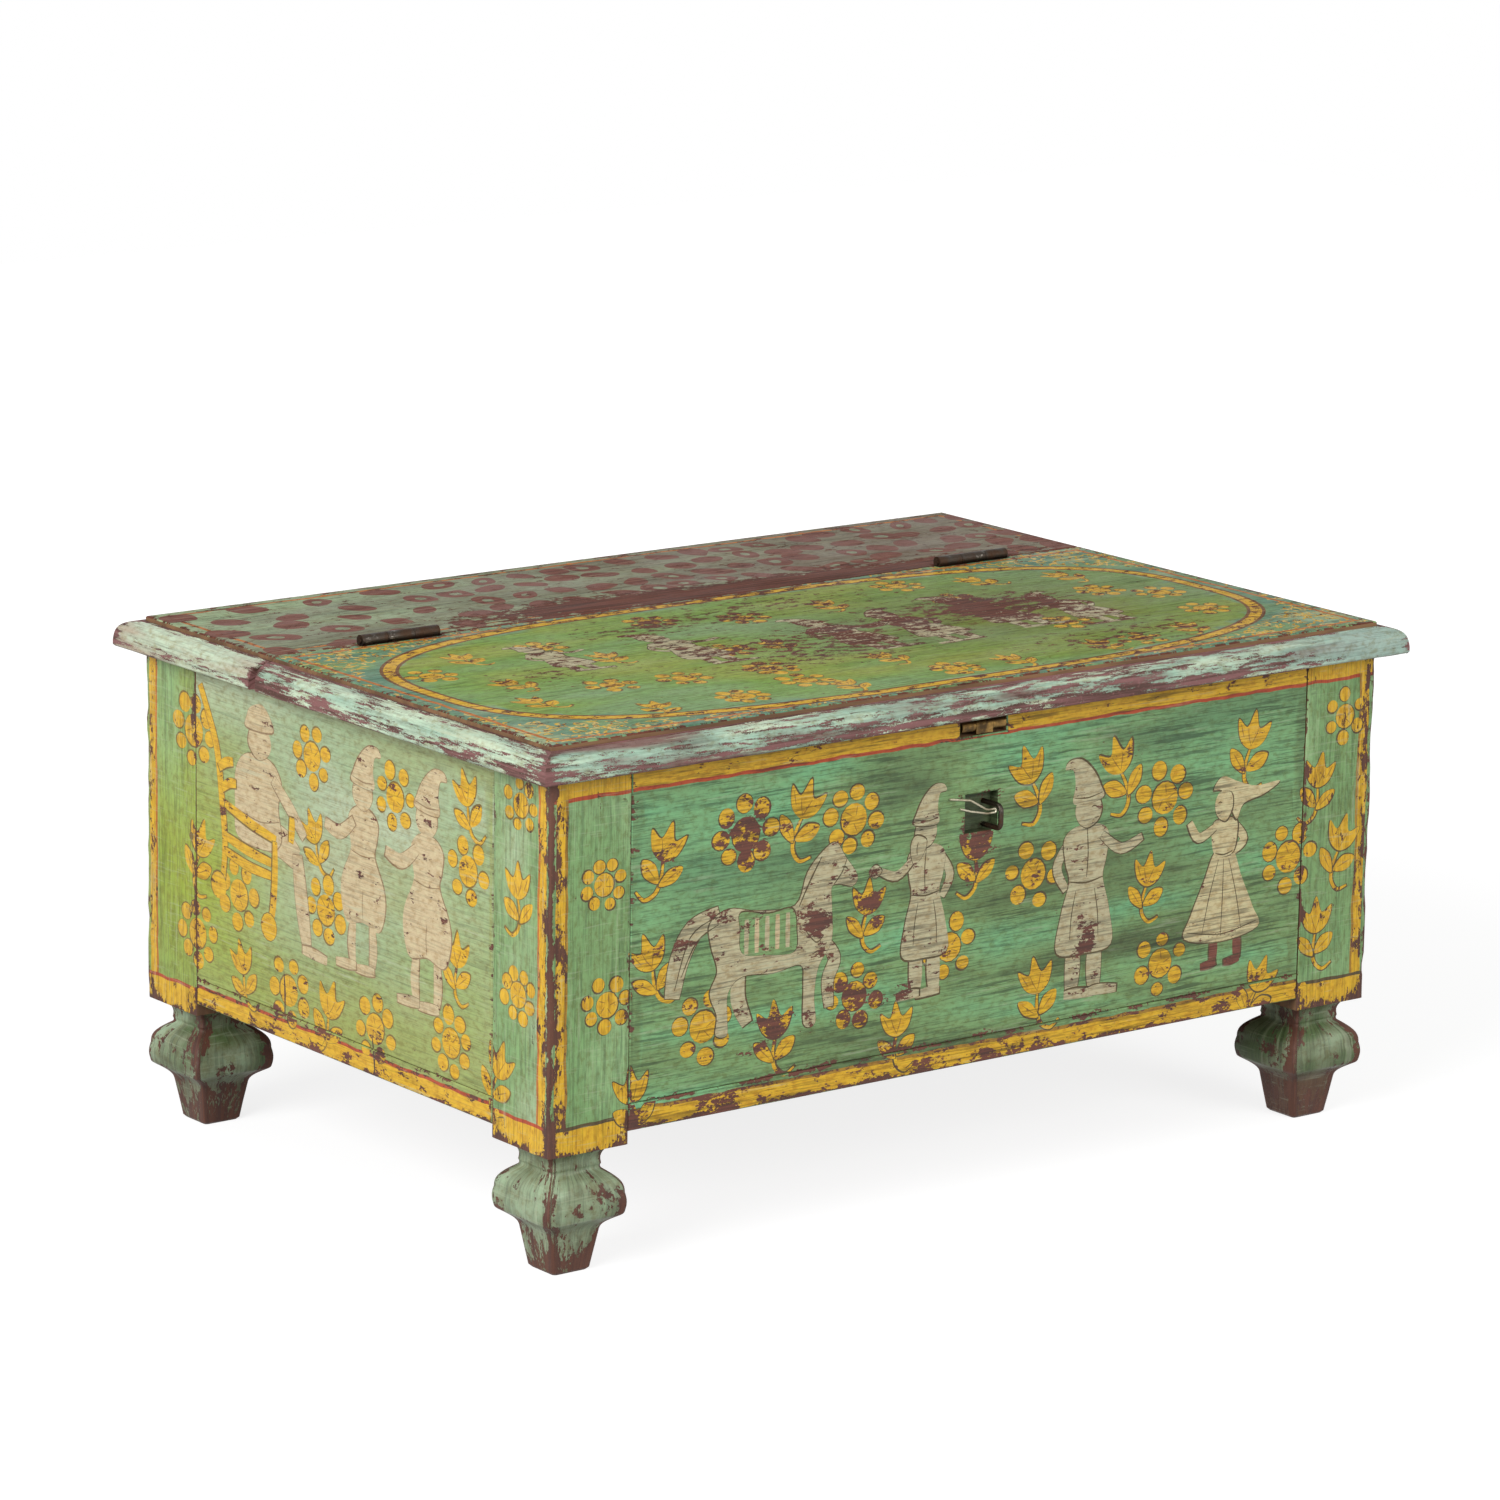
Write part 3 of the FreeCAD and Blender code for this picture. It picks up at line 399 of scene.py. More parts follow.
# Folk figures of plain design, in shares of the height, seen facing right
HEAD_SHARES = (
    ("form", 0, ((0.0, 0.705), (0.042, 0.730), (0.056, 0.780), (0.035, 0.830), (-0.030, 0.830),
                 (-0.050, 0.780), (-0.035, 0.730))),
    ("form", 0, ((-0.054, 0.808), (0.058, 0.818), (0.050, 0.872), (0.018, 0.940), (-0.030, 0.990),
                 (-0.078, 0.990), (-0.094, 0.958), (-0.062, 0.948), (-0.052, 0.885))),
    ("line", 0.006, ((-0.055, 0.835), (0.0, 0.828), (0.058, 0.842))),
    ("line", 0.006, ((0.016, 0.788), (0.026, 0.792), (0.036, 0.788))),
    ("line", 0.005, ((0.028, 0.742), (0.038, 0.742), (0.046, 0.744))),
)
MAN_SHARES = (
    ("limb", 0.078, ((-0.046, 0.25), (-0.046, 0.13), (-0.050, 0.03))),
    ("limb", 0.078, ((0.044, 0.25), (0.040, 0.13), (0.042, 0.03))),
    ("limb", 0.044, ((-0.078, 0.022), (-0.030, 0.022), (0.040, 0.014))),
    ("limb", 0.044, ((0.022, 0.022), (0.065, 0.022), (0.135, 0.014))),
    ("limb", 0.044, ((-0.070, 0.665), (-0.118, 0.56), (-0.080, 0.46))),
    ("form", 0, ((-0.045, 0.715), (0.045, 0.715), (0.088, 0.67), (0.080, 0.57), (0.068, 0.49),
                 (0.096, 0.36), (0.108, 0.205), (0.0, 0.185), (-0.112, 0.205), (-0.098, 0.36),
                 (-0.068, 0.49), (-0.084, 0.57), (-0.092, 0.67))),
    ("limb", 0.044, ((0.060, 0.665), (0.140, 0.595), (0.225, 0.630))),
    ("line", 0.008, ((-0.068, 0.492), (0.0, 0.478), (0.068, 0.492))),
    ("line", 0.006, ((0.0, 0.70), (0.006, 0.60), (0.002, 0.50))),
    ("line", 0.005, ((-0.040, 0.45), (-0.055, 0.35), (-0.060, 0.25))),
    ("line", 0.005, ((0.035, 0.45), (0.050, 0.35), (0.055, 0.25))),
) + HEAD_SHARES
SIDE_MAN_SHARES = (
    ("limb", 0.056, ((-0.050, 0.22), (-0.056, 0.12), (-0.050, 0.04))),
    ("limb", 0.056, ((0.052, 0.22), (0.060, 0.12), (0.052, 0.04))),
    ("limb", 0.044, ((-0.062, 0.028), (-0.020, 0.024), (0.040, 0.018))),
    ("limb", 0.044, ((0.036, 0.028), (0.080, 0.024), (0.145, 0.018))),
    ("form", 0, ((-0.035, 0.715), (0.035, 0.715), (0.078, 0.665), (0.072, 0.585), (0.066, 0.520),
                 (0.112, 0.400), (0.116, 0.300), (0.084, 0.205), (0.000, 0.225), (-0.084, 0.205),
                 (-0.118, 0.300), (-0.110, 0.400), (-0.062, 0.520), (-0.072, 0.585), (-0.078, 0.665))),
    ("limb", 0.060, ((0.050, 0.650), (0.125, 0.580), (0.205, 0.600))),
    ("line", 0.006, ((-0.062, 0.522), (0.0, 0.510), (0.064, 0.522))),
    ("line", 0.005, ((0.0, 0.235), (0.004, 0.300), (0.0, 0.360))),
) + HEAD_SHARES
BEARD_SHARES = (
    ("form", 0, ((0.054, 0.765), (0.076, 0.712), (0.060, 0.635), (0.018, 0.668), (0.000, 0.738))),
    ("line", 0.005, ((0.040, 0.735), (0.046, 0.705), (0.044, 0.675))),
)
BALL_SHARES = (
    ("form", 0, ((0.215, 0.630), (0.245, 0.600), (0.275, 0.630), (0.245, 0.662))),
)
WOMAN_SHARES = (
    ("shoe", 0.050, ((0.042, 0.165), (0.044, 0.090), (0.046, 0.030))),
    ("shoe", 0.050, ((-0.090, 0.165), (-0.092, 0.090), (-0.094, 0.030))),
    ("shoe", 0.040, ((0.030, 0.030), (0.075, 0.022), (0.120, 0.018))),
    ("shoe", 0.040, ((-0.110, 0.030), (-0.065, 0.022), (-0.020, 0.018))),
    ("limb", 0.046, ((-0.060, 0.68), (-0.115, 0.600), (-0.060, 0.550))),
    ("form", 0, ((-0.050, 0.56), (0.050, 0.56), (0.115, 0.42), (0.185, 0.27), (0.215, 0.165), (0.0, 0.125),
                 (-0.215, 0.165), (-0.180, 0.27), (-0.110, 0.42))),
    ("form", 0, ((-0.060, 0.705), (0.060, 0.705), (0.075, 0.630), (0.048, 0.540), (-0.048, 0.540),
                 (-0.075, 0.630))),
    ("limb", 0.046, ((0.055, 0.68), (0.150, 0.640), (0.205, 0.720))),
    ("form", 0, ((0.070, 0.860), (0.020, 0.915), (-0.070, 0.880), (-0.180, 0.845), (-0.320, 0.850),
                 (-0.230, 0.800), (-0.110, 0.770), (-0.070, 0.700), (-0.025, 0.780), (0.025, 0.850))),
    ("form", 0, ((0.000, 0.700), (0.045, 0.730), (0.060, 0.785), (0.035, 0.840), (-0.030, 0.835),
                 (-0.045, 0.780), (-0.030, 0.730))),
    ("line", 0.008, ((-0.050, 0.552), (0.0, 0.540), (0.050, 0.552))),
    ("line", 0.005, ((-0.030, 0.52), (-0.080, 0.34), (-0.115, 0.17))),
    ("line", 0.005, ((0.0, 0.52), (0.0, 0.34), (0.005, 0.15))),
    ("line", 0.005, ((0.030, 0.52), (0.080, 0.34), (0.115, 0.17))),
    ("line", 0.006, ((-0.205, 0.195), (0.0, 0.160), (0.205, 0.195))),
    ("line", 0.006, ((0.018, 0.790), (0.030, 0.794), (0.042, 0.790))),
    ("line", 0.005, ((0.028, 0.742), (0.038, 0.742), (0.048, 0.744))),
)
HORSE_SHARES = (
    ("limb", 0.125, ((-0.28, 0.660), (-0.44, 0.600), (-0.53, 0.450), (-0.57, 0.270))),
    ("limb", 0.090, ((-0.15, 0.370), (-0.16, 0.210), (-0.10, 0.070))),
    ("limb", 0.080, ((0.38, 0.430), (0.45, 0.330), (0.41, 0.220), (0.42, 0.080))),
    ("form", 0, ((0.590, 0.740), (0.510, 0.850), (0.450, 0.930), (0.370, 0.900), (0.270, 0.800),
                 (0.195, 0.640), (-0.040, 0.645), (-0.220, 0.680), (-0.340, 0.620), (-0.330, 0.500),
                 (-0.290, 0.370), (-0.335, 0.260), (-0.290, 0.140), (-0.295, 0.040), (-0.225, 0.030),
                 (-0.225, 0.135), (-0.220, 0.250), (-0.130, 0.320), (0.065, 0.310), (0.235, 0.325),
                 (0.255, 0.220), (0.260, 0.015), (0.335, 0.010), (0.325, 0.150), (0.350, 0.300),
                 (0.430, 0.420), (0.430, 0.590), (0.425, 0.700), (0.480, 0.710), (0.560, 0.690))),
    ("cloth", 0, ((-0.145, 0.650), (0.025, 0.620), (0.175, 0.625), (0.205, 0.510), (0.190, 0.400),
                  (0.010, 0.410), (-0.135, 0.440), (-0.150, 0.560))),
    ("line", 0.010, ((0.360, 0.870), (0.285, 0.750), (0.220, 0.630))),
    ("line", 0.010, ((0.490, 0.800), (0.510, 0.796), (0.528, 0.782))),
    ("line", 0.008, ((0.440, 0.715), (0.490, 0.770), (0.520, 0.835))),
    ("line", 0.007, ((0.255, 0.510), (0.330, 0.430), (0.380, 0.460))),
    ("line", 0.008, ((-0.300, 0.650), (-0.460, 0.570), (-0.555, 0.310))),
    ("line", 0.008, ((-0.285, 0.610), (-0.420, 0.540), (-0.515, 0.370))),
)
CLOTH_STRIPE_SHARES = (-0.110, -0.045, 0.020, 0.085, 0.150)
CLOTH_STRIPE_SHARE = 0.030
CLOTH_HEIGHT_SHARES = (0.43, 0.52, 0.61)
SEATED_SHARES = (
    ("limb", 0.130, ((0.000, 0.430), (0.120, 0.430), (0.205, 0.380))),
    ("limb", 0.088, ((0.205, 0.400), (0.225, 0.220), (0.250, 0.050))),
    ("limb", 0.044, ((0.230, 0.026), (0.285, 0.024), (0.350, 0.016))),
    ("form", 0, ((-0.045, 0.740), (0.070, 0.740), (0.125, 0.665), (0.110, 0.560), (0.125, 0.430),
                 (0.060, 0.375), (-0.090, 0.390), (-0.105, 0.520), (-0.100, 0.665))),
    ("limb", 0.058, ((0.085, 0.670), (0.170, 0.575), (0.240, 0.480))),
    ("form", 0, ((0.015, 0.730), (0.060, 0.755), (0.076, 0.805), (0.050, 0.865), (-0.015, 0.865),
                 (-0.038, 0.800), (-0.020, 0.755))),
    ("form", 0, ((-0.045, 0.848), (0.080, 0.856), (0.072, 0.910), (0.030, 0.955), (-0.025, 0.935),
                 (-0.045, 0.895))),
    ("line", 0.006, ((-0.090, 0.50), (0.020, 0.480), (0.115, 0.505))),
    ("line", 0.006, ((0.034, 0.812), (0.046, 0.816), (0.056, 0.812))),
)
PART_COATS = {"shoe": MAROON, "cloth": SAGE}
FIGURE_FRAIL = 0.17


def cloth_stripes(foot, height):
    shapes = []
    for rank, across_share in enumerate(CLOTH_STRIPE_SHARES):
        across = foot[0] + height * across_share
        line = [(across, foot[1] + height * up_share) for up_share in CLOTH_HEIGHT_SHARES]
        coat = PINK_BEIGE if rank % 2 else BEIGE
        loop = ribbon(line, height * CLOTH_STRIPE_SHARE, BROAD_TIP_SHARE)
        shapes.append(Shape(loop, coat, FIGURE_FRAIL))
    return shapes


def foot_and_height(side, pixels):
    """Where a figure stands, and how tall it is, from the pixels of its crown and its sole."""
    high, low = (SIDES[side].at_pixel(pixel) for pixel in pixels)
    return ((high[0] + low[0]) / 2, low[1]), high[1] - low[1]


def figure_between(side, pixels, parts, coat, chance, breadth=1.0, ink=INK):
    """A figure between the pixels of its crown and its sole; a breadth below zero faces left."""
    foot, height = foot_and_height(side, pixels)
    shapes = []
    for kind, width_share, points in parts:
        spots = [(foot[0] + breadth * height * across, foot[1] + height * up) for across, up in points]
        width = height * width_share
        if kind == "line":
            shapes.append(Shape(ribbon(spline(spots, False), width, LINE_TIP_SHARE), ink, FIGURE_FRAIL))
            continue
        if kind in ("form", "cloth"):
            loop = turned_left(spline(spots, True))
        else:
            loop = ribbon(spline(spots, False), width, LIMB_TIP_SHARE)
        shapes += inked(loop, PART_COATS.get(kind, coat), chance, FIGURE_FRAIL, ink)
    return shapes


# Where the photo shows the motifs
FRONT_ROSETTES = ((604, 885), (607, 1005), (746, 834), (854, 819), (703, 1027), (854, 996), (949, 947),
                  (1033, 874), (1165, 798), (1160, 963), (1288, 857), (1345, 716))
FRONT_TULIPS = ((633, 1085), (663, 842), (802, 799), (653, 951), (775, 1019), (867, 897), (897, 1019),
                (976, 842), (1033, 763), (1122, 754), (1147, 869), (1038, 975), (1251, 730), (1256, 973),
                (1318, 770), (1339, 832), (1316, 915))
LEFT_ROSETTES = ((194, 730), (312, 757), (395, 798), (468, 871), (239, 895), (326, 910), (198, 933),
                 (289, 991), (375, 1029), (451, 1043), (521, 805), (518, 995))
LEFT_TULIPS = ((199, 836), (316, 826), (468, 788), (244, 957), (328, 998), (457, 950), (518, 881),
               (497, 1058))
HORSE_PIXELS = ((764, 841), (764, 1034))
BEARDED_MAN_PIXELS = ((935, 783), (916, 998))
BEARDED_MAN_BREADTH = -1.2
CAPPED_MAN_PIXELS = ((1082, 757), (1090, 996))
CAPPED_MAN_BREADTH = 1.3
WOMAN_PIXELS = ((1232, 757), (1215, 968))
WOMAN_BREADTH = -1.05
SEATED_PIXELS = ((256, 692), (256, 938))
SEATED_BREADTH = 1.45
LEFT_MEN = (((360, 741), (366, 976)), ((436, 768), (418, 1010)))
LEFT_MAN_BREADTH = -1.4
CHAIR_LINES = (((200, 684), (208, 712), (217, 749), (222, 800), (225, 845), (222, 888)),
               ((225, 803), (250, 823), (276, 840)), ((226, 836), (248, 851), (271, 863)),
               ((226, 851), (248, 866), (271, 876)), ((275, 842), (275, 875), (273, 908), (269, 932)),
               ((219, 767), (226, 762), (233, 762)), ((222, 788), (229, 783), (236, 784)),
               ((292, 818), (292, 830), (291, 843)))
CHAIR_WIDTH = 0.0085
CHAIR_BALLS = ((219, 885), (269, 927))
CHAIR_BALL = 0.0115
LEFT_CRACKS = (((372, 1036), (374, 1056), (375, 1080)), ((284, 972), (285, 992), (285, 1020)))
CRACK_WIDTH = 0.0022
SEEDS = {"front": 11, "front flowers": 12, "left": 21, "left flowers": 22, "lid": 31, "rear board": 41,
         "right": 51, "rear": 61}


def flowers(side, rosettes, tulips, seed, ink=INK):
    chance = random.Random(seed)
    shapes = []
    for pixel in tulips:
        shapes += tulip(SIDES[side].at_pixel(pixel), chance.uniform(*FLOWER_SIZE_SHARES), chance, ink)
    for pixel in rosettes:
        spot = SIDES[side].at_pixel(pixel)
        on_post = abs(spot[0]) > HALF_SPANS[side] - POST_WIDTH + ROSETTE_REACH
        scale = chance.uniform(*FLOWER_SIZE_SHARES) * (POST_ROSETTE_SHARE if on_post else 1)
        shapes += rosette(spot, scale, chance, ink)
    return shapes


# Bands round each side
TOP_BAND = 0.0172
TOP_LINE = 0.003
CORNER_GAP = 0.005
CORNER_BAND = 0.009
CORNER_LINE = 0.0025
POST_BAND = 0.021
RAIL_BAND = 0.015
RAIL_LINE = 0.003
BAND_FRAIL = 0.12
LINE_FRAIL = 0.2
CORNER_FRAIL = 0.14
POST_LINE_FRAIL = 0.1
BAR_STEP = 0.007
BAR_WANDER = 0.0016
BAR_WAVES = 60
BAR_SHIFT = Vector((0, 0, 5))
BAR_SIDE_RESTS = tuple(span - step for span in HALF_SPANS.values() for step in (0, POST_WIDTH))
BAR_RESTS = (BODY_TOP, RAIL_FOOT, POST_FOOT)


def shaken(point):
    """A point moved a little, as a hand-drawn edge wanders; at the edge of a board it stays."""
    if any(abs(abs(point[0]) - rest) < BAR_WANDER for rest in BAR_SIDE_RESTS):
        return point
    place = Vector((point[0] * BAR_WAVES, point[1] * BAR_WAVES, 0))
    across = point[0] + BAR_WANDER * noise.noise(place)
    if any(abs(point[1] - rest) < BAR_WANDER for rest in BAR_RESTS):
        return across, point[1]
    return across, point[1] + BAR_WANDER * noise.noise(place + BAR_SHIFT)


def bar(left, right, low, high, coat, frail=BAND_FRAIL):
    """A painted bar whose long edges wander."""
    corners = rectangle(left, low, right, high)
    level = right - left > high - low
    loop = []
    for start, end in zip(corners, corners[1:] + corners[:1]):
        lengthwise = (start[1] == end[1]) == level
        count = max(int(math.dist(start, end) / BAR_STEP), 1) if lengthwise else 1
        loop += [shaken(blend(start, end, rank / count)) for rank in range(count)]
    return Shape(loop, coat, frail)


def bands(side):
    """Yellow bands along the bottom and the outer corners of a side, and along the top of the front."""
    span = HALF_SPANS[side]
    inner = span - POST_WIDTH
    front = side == "front"
    band_low = BODY_TOP - TOP_BAND
    rail_band = RAIL_FOOT + RAIL_BAND
    post_band = POST_FOOT + POST_BAND
    rail_coat = DEEP_OCHRE if front else RED
    shapes = [
        bar(-inner, inner, RAIL_FOOT, rail_band, OCHRE),
        bar(-inner, inner, rail_band, rail_band + RAIL_LINE, rail_coat, LINE_FRAIL),
    ]
    if front:
        for left, right in ((-span, -inner), (-inner, inner), (inner, span)):
            shapes.append(bar(left, right, band_low - TOP_LINE, band_low, RED))
            shapes.append(bar(left, right, band_low, BODY_TOP, OCHRE))
    top = band_low if front else BODY_TOP
    for sign in (-1, 1):
        outer = sign * (span - CORNER_GAP)
        middle = outer - sign * CORNER_BAND
        thin = sorted((middle - sign * CORNER_LINE, middle))
        broad = sorted((outer, middle))
        whole = sorted((sign * inner, sign * span))
        shapes += [
            bar(*thin, POST_FOOT, top, DEEP_OCHRE if front else ORANGE, LINE_FRAIL),
            bar(*broad, POST_FOOT, top, OCHRE, CORNER_FRAIL),
            bar(*whole, POST_FOOT, post_band, OCHRE),
            bar(*whole, post_band, post_band + RAIL_LINE, INK if front else RED, POST_LINE_FRAIL),
        ]
    return shapes


def front_picture():
    chance = random.Random(SEEDS["front"])
    shapes = bands("front") + flowers("front", FRONT_ROSETTES, FRONT_TULIPS, SEEDS["front flowers"])
    shapes += figure_between("front", HORSE_PIXELS, HORSE_SHARES, BEIGE, chance)
    shapes += cloth_stripes(*foot_and_height("front", HORSE_PIXELS))
    bearded = MAN_SHARES + BEARD_SHARES + BALL_SHARES
    shapes += figure_between("front", BEARDED_MAN_PIXELS, bearded, BEIGE, chance, BEARDED_MAN_BREADTH)
    shapes += figure_between("front", CAPPED_MAN_PIXELS, MAN_SHARES, BEIGE, chance, CAPPED_MAN_BREADTH)
    return shapes + figure_between("front", WOMAN_PIXELS, WOMAN_SHARES, PALE_BEIGE, chance, WOMAN_BREADTH)


def left_picture():
    chance = random.Random(SEEDS["left"])
    face = SIDES["left"]
    shapes = bands("left") + flowers("left", LEFT_ROSETTES, LEFT_TULIPS, SEEDS["left flowers"], SOFT_INK)
    shapes += figure_between("left", SEATED_PIXELS, SEATED_SHARES, PINK_BEIGE, chance, SEATED_BREADTH,
                             FAINT_INK)
    for line in CHAIR_LINES:
        loop = ribbon(spline([face.at_pixel(pixel) for pixel in line], False), CHAIR_WIDTH, BROAD_TIP_SHARE)
        shapes += inked(loop, OCHRE, chance, FLOWER_FRAIL, SOFT_INK)
    for line in LEFT_CRACKS:
        loop = ribbon(spline([face.at_pixel(pixel) for pixel in line], False), CRACK_WIDTH)
        shapes.append(Shape(loop, DARK_PRIMER))
    for pixel in CHAIR_BALLS:
        shapes += inked(disc(face.at_pixel(pixel), CHAIR_BALL), OCHRE, chance, FLOWER_FRAIL, SOFT_INK)
    for pixels in LEFT_MEN:
        shapes += figure_between("left", pixels, SIDE_MAN_SHARES, PINK_BEIGE, chance, LEFT_MAN_BREADTH,
                                 FAINT_INK)
    return shapes


# The unseen sides: flowers in staggered rows
ROWS = 4
ROW_STEP = 0.068
COLUMN_STEP = 0.082
ROW_FOOT = 0.165
ROW_JITTER = 0.010
ROW_STAGGER_SHARE = 0.5
STREWN_SIZE_SHARES = (0.8, 0.95)


def strewn_picture(side):
    chance = random.Random(SEEDS[side])
    shapes = bands(side)
    columns = int((2 * HALF_SPANS[side] - POST_WIDTH) / COLUMN_STEP)
    for row in range(ROWS):
        stagger = ROW_STAGGER_SHARE if row % 2 else 0
        for column in range(columns):
            across = (column + stagger - (columns - 1) / 2) * COLUMN_STEP
            across += chance.uniform(-ROW_JITTER, ROW_JITTER)
            up = ROW_FOOT + row * ROW_STEP + chance.uniform(-ROW_JITTER, ROW_JITTER)
            draw = rosette if (row + column) % 2 else tulip
            shapes += draw((across, up), chance.uniform(*STREWN_SIZE_SHARES), chance)
    return shapes


# The top: an oval ring with spandrels on the lid, rows of leaf spots on the rear board
OVAL_MIDDLE = (0.0, -0.095)
OVAL_HALF_LENGTH = 0.390
OVAL_HALF_DEPTH = 0.175
OVAL_POWER = 3.0
OVAL_SIDES = 96
OVAL_RING = 0.009
OVAL_LINE = 0.0028
OVAL_COATS = ((OVAL_RING + 2 * OVAL_LINE, RING_BROWN), (OVAL_RING + OVAL_LINE, OCHRE),
              (OVAL_LINE, RING_BROWN))
SPANDREL_START = 1.25
EDGE_LINE_INSET = 0.010
EDGE_LINE = 0.004
SCROLL_COUNT = 1000
SCROLL_REACH = 0.0052
SCROLL_WIDTH = 0.0023
SCROLL_TURN = 2.2
SPOT_STEP = (0.038, 0.036)
SPOT_HALF = (0.0155, 0.0150)
SPOT_JITTER = 0.007
SPOT_SIDES = 8
SPOT_SIZE_SHARES = (0.75, 1.2)
SPOT_HOOK_SHARE = 0.5
SPOT_RAGGED_SHARES = (0.82, 1.12)
SPOT_HEART_SHARE = 0.35
SPOT_HEART_CHANCE = 0.4
BARE_LEFT = -0.20
BARE_STEP_SHARE = 1.7
LID_ROSETTES = ((432, 676), (541, 648), (612, 685), (684, 678), (743, 696), (771, 668), (730, 650),
                (743, 618), (805, 680), (897, 586), (956, 599), (1067, 622), (1099, 590), (1159, 592),
                (1205, 608), (956, 668), (1140, 638), (650, 622))
LID_TULIPS = ((457, 657), (507, 682), (530, 700), (650, 705), (768, 642), (841, 682), (970, 579),
              (1057, 574), (1094, 642), (1007, 657), (600, 655), (880, 655), (1180, 625), (820, 603))
LID_FIGURES = (((560, 640), (548, 676)), ((690, 626), (676, 670)), ((850, 610), (838, 656)),
               ((920, 602), (912, 648)), ((990, 588), (985, 634)), ((1075, 586), (1068, 628)))
LID_FIGURE_BREADTHS = (-1.6, 1.6)
LID_FLOWER_SCALE = 0.82


def oval(grow):
    points = []
    for step in range(OVAL_SIDES):
        turn = math.tau * step / OVAL_SIDES
        reach = []
        for value, half in ((math.cos(turn), OVAL_HALF_LENGTH), (math.sin(turn), OVAL_HALF_DEPTH)):
            reach.append(math.copysign(abs(value) ** (2 / OVAL_POWER), value) * (half + grow))
        points.append((OVAL_MIDDLE[0] + reach[0], OVAL_MIDDLE[1] + reach[1]))
    return points


def in_oval(point):
    across = abs(point[0] - OVAL_MIDDLE[0]) / OVAL_HALF_LENGTH
    along = abs(point[1] - OVAL_MIDDLE[1]) / OVAL_HALF_DEPTH
    return across ** OVAL_POWER + along ** OVAL_POWER


def edge_lines(low, high):
    """Thin line inside the edges of a top board."""
    left, front = (value + EDGE_LINE_INSET for value in low)
    right, rear = (value - EDGE_LINE_INSET for value in high)
    return [
        bar(left, right, front, front + EDGE_LINE, ORANGE),
        bar(left, right, rear - EDGE_LINE, rear, ORANGE),
        bar(left, left + EDGE_LINE, front, rear, ORANGE),
        bar(right - EDGE_LINE, right, front, rear, ORANGE),
    ]


def lid_picture(low, high):
    chance = random.Random(SEEDS["lid"])
    face = SIDES["top"]
    shapes = []
    while len(shapes) < SCROLL_COUNT:
        spot = (chance.uniform(low[0], high[0]), chance.uniform(low[1], high[1]))
        if in_oval(spot) < SPANDREL_START:
            continue
        turn = chance.uniform(0, math.tau)
        line = [swung(spot, SCROLL_REACH, turn), spot, swung(spot, SCROLL_REACH, turn + SCROLL_TURN)]
        loop = ribbon(spline(line, False), SCROLL_WIDTH)
        shapes.append(Shape(loop, chance.choice((OCHRE, PALE_OCHRE)), FLOWER_FRAIL))
    shapes += edge_lines(low, high)
    shapes += [Shape(oval(grow), coat, FLOWER_FRAIL) for grow, coat in OVAL_COATS]
    shapes.append(Shape(oval(0), None))
    for pixel in LID_TULIPS:
        shapes += tulip(face.at_pixel(pixel), LID_FLOWER_SCALE, chance, SOFT_INK)
    for pixel in LID_ROSETTES:
        shapes += rosette(face.at_pixel(pixel), LID_FLOWER_SCALE, chance, SOFT_INK)
    for pixels in LID_FIGURES:
        breadth = chance.choice(LID_FIGURE_BREADTHS)
        shapes += figure_between("top", pixels, MAN_SHARES, BEIGE, chance, breadth)
    return shapes


def leaf_spot(spot, chance):
    """Ragged loop of a leaf spot, drawn out to one side."""
    sizes = [half * chance.uniform(*SPOT_SIZE_SHARES) for half in SPOT_HALF]
    hook = sizes[0] * chance.uniform(-SPOT_HOOK_SHARE, SPOT_HOOK_SHARE)
    loop = []
    for step in range(SPOT_SIDES):
        turn = math.tau * step / SPOT_SIDES
        ragged = chance.uniform(*SPOT_RAGGED_SHARES)
        across = sizes[0] * ragged * math.cos(turn) + hook * math.sin(turn)
        loop.append((spot[0] + across, spot[1] + sizes[1] * ragged * math.sin(turn)))
    return loop


def rear_board_picture(low, high):
    chance = random.Random(SEEDS["rear board"])
    shapes = edge_lines(low, high)
    row = 0
    along = low[1] + SPOT_STEP[1] / 2
    while along < high[1]:
        across = low[0] + SPOT_STEP[0] * (1 if row % 2 else 0.5)
        while across < high[0]:
            spot = tuple(place + chance.uniform(-SPOT_JITTER, SPOT_JITTER) for place in (across, along))
            loop = leaf_spot(spot, chance)
            shapes.append(Shape(spline(loop, True), MAROON))
            if chance.random() < SPOT_HEART_CHANCE:
                heart = [blend(spot, corner, SPOT_HEART_SHARE) for corner in loop]
                shapes.append(Shape(spline(heart, True), REAR_GREEN))
            across += SPOT_STEP[0] * (BARE_STEP_SHARE if across < BARE_LEFT else 1)
        along += SPOT_STEP[1]
        row += 1
    return shapes


# The ground paint of each side: main, lighter and darker colour, and places with a colour of their own,
# besides one of painted shade under the left moulding
DRIFT_ROUGHNESS = 1.0
DRIFT_STEP = 2.0
DRIFT_OCTAVES = 3
DRIFT_GAIN = 2.1
FRONT_GAIN = 1.4


def drifting(across, along, level):
    """Slow change from place to place, about zero."""
    return noise.fractal(Vector((across, along, level)), DRIFT_ROUGHNESS, DRIFT_STEP, DRIFT_OCTAVES)


def nearness(point, middle, reach):
    """One at the middle of a soft-edged place, falling to nothing beyond its reach."""
    return math.exp(-sum(((a - b) / c) ** 2 for a, b, c in zip(point, middle, reach)))


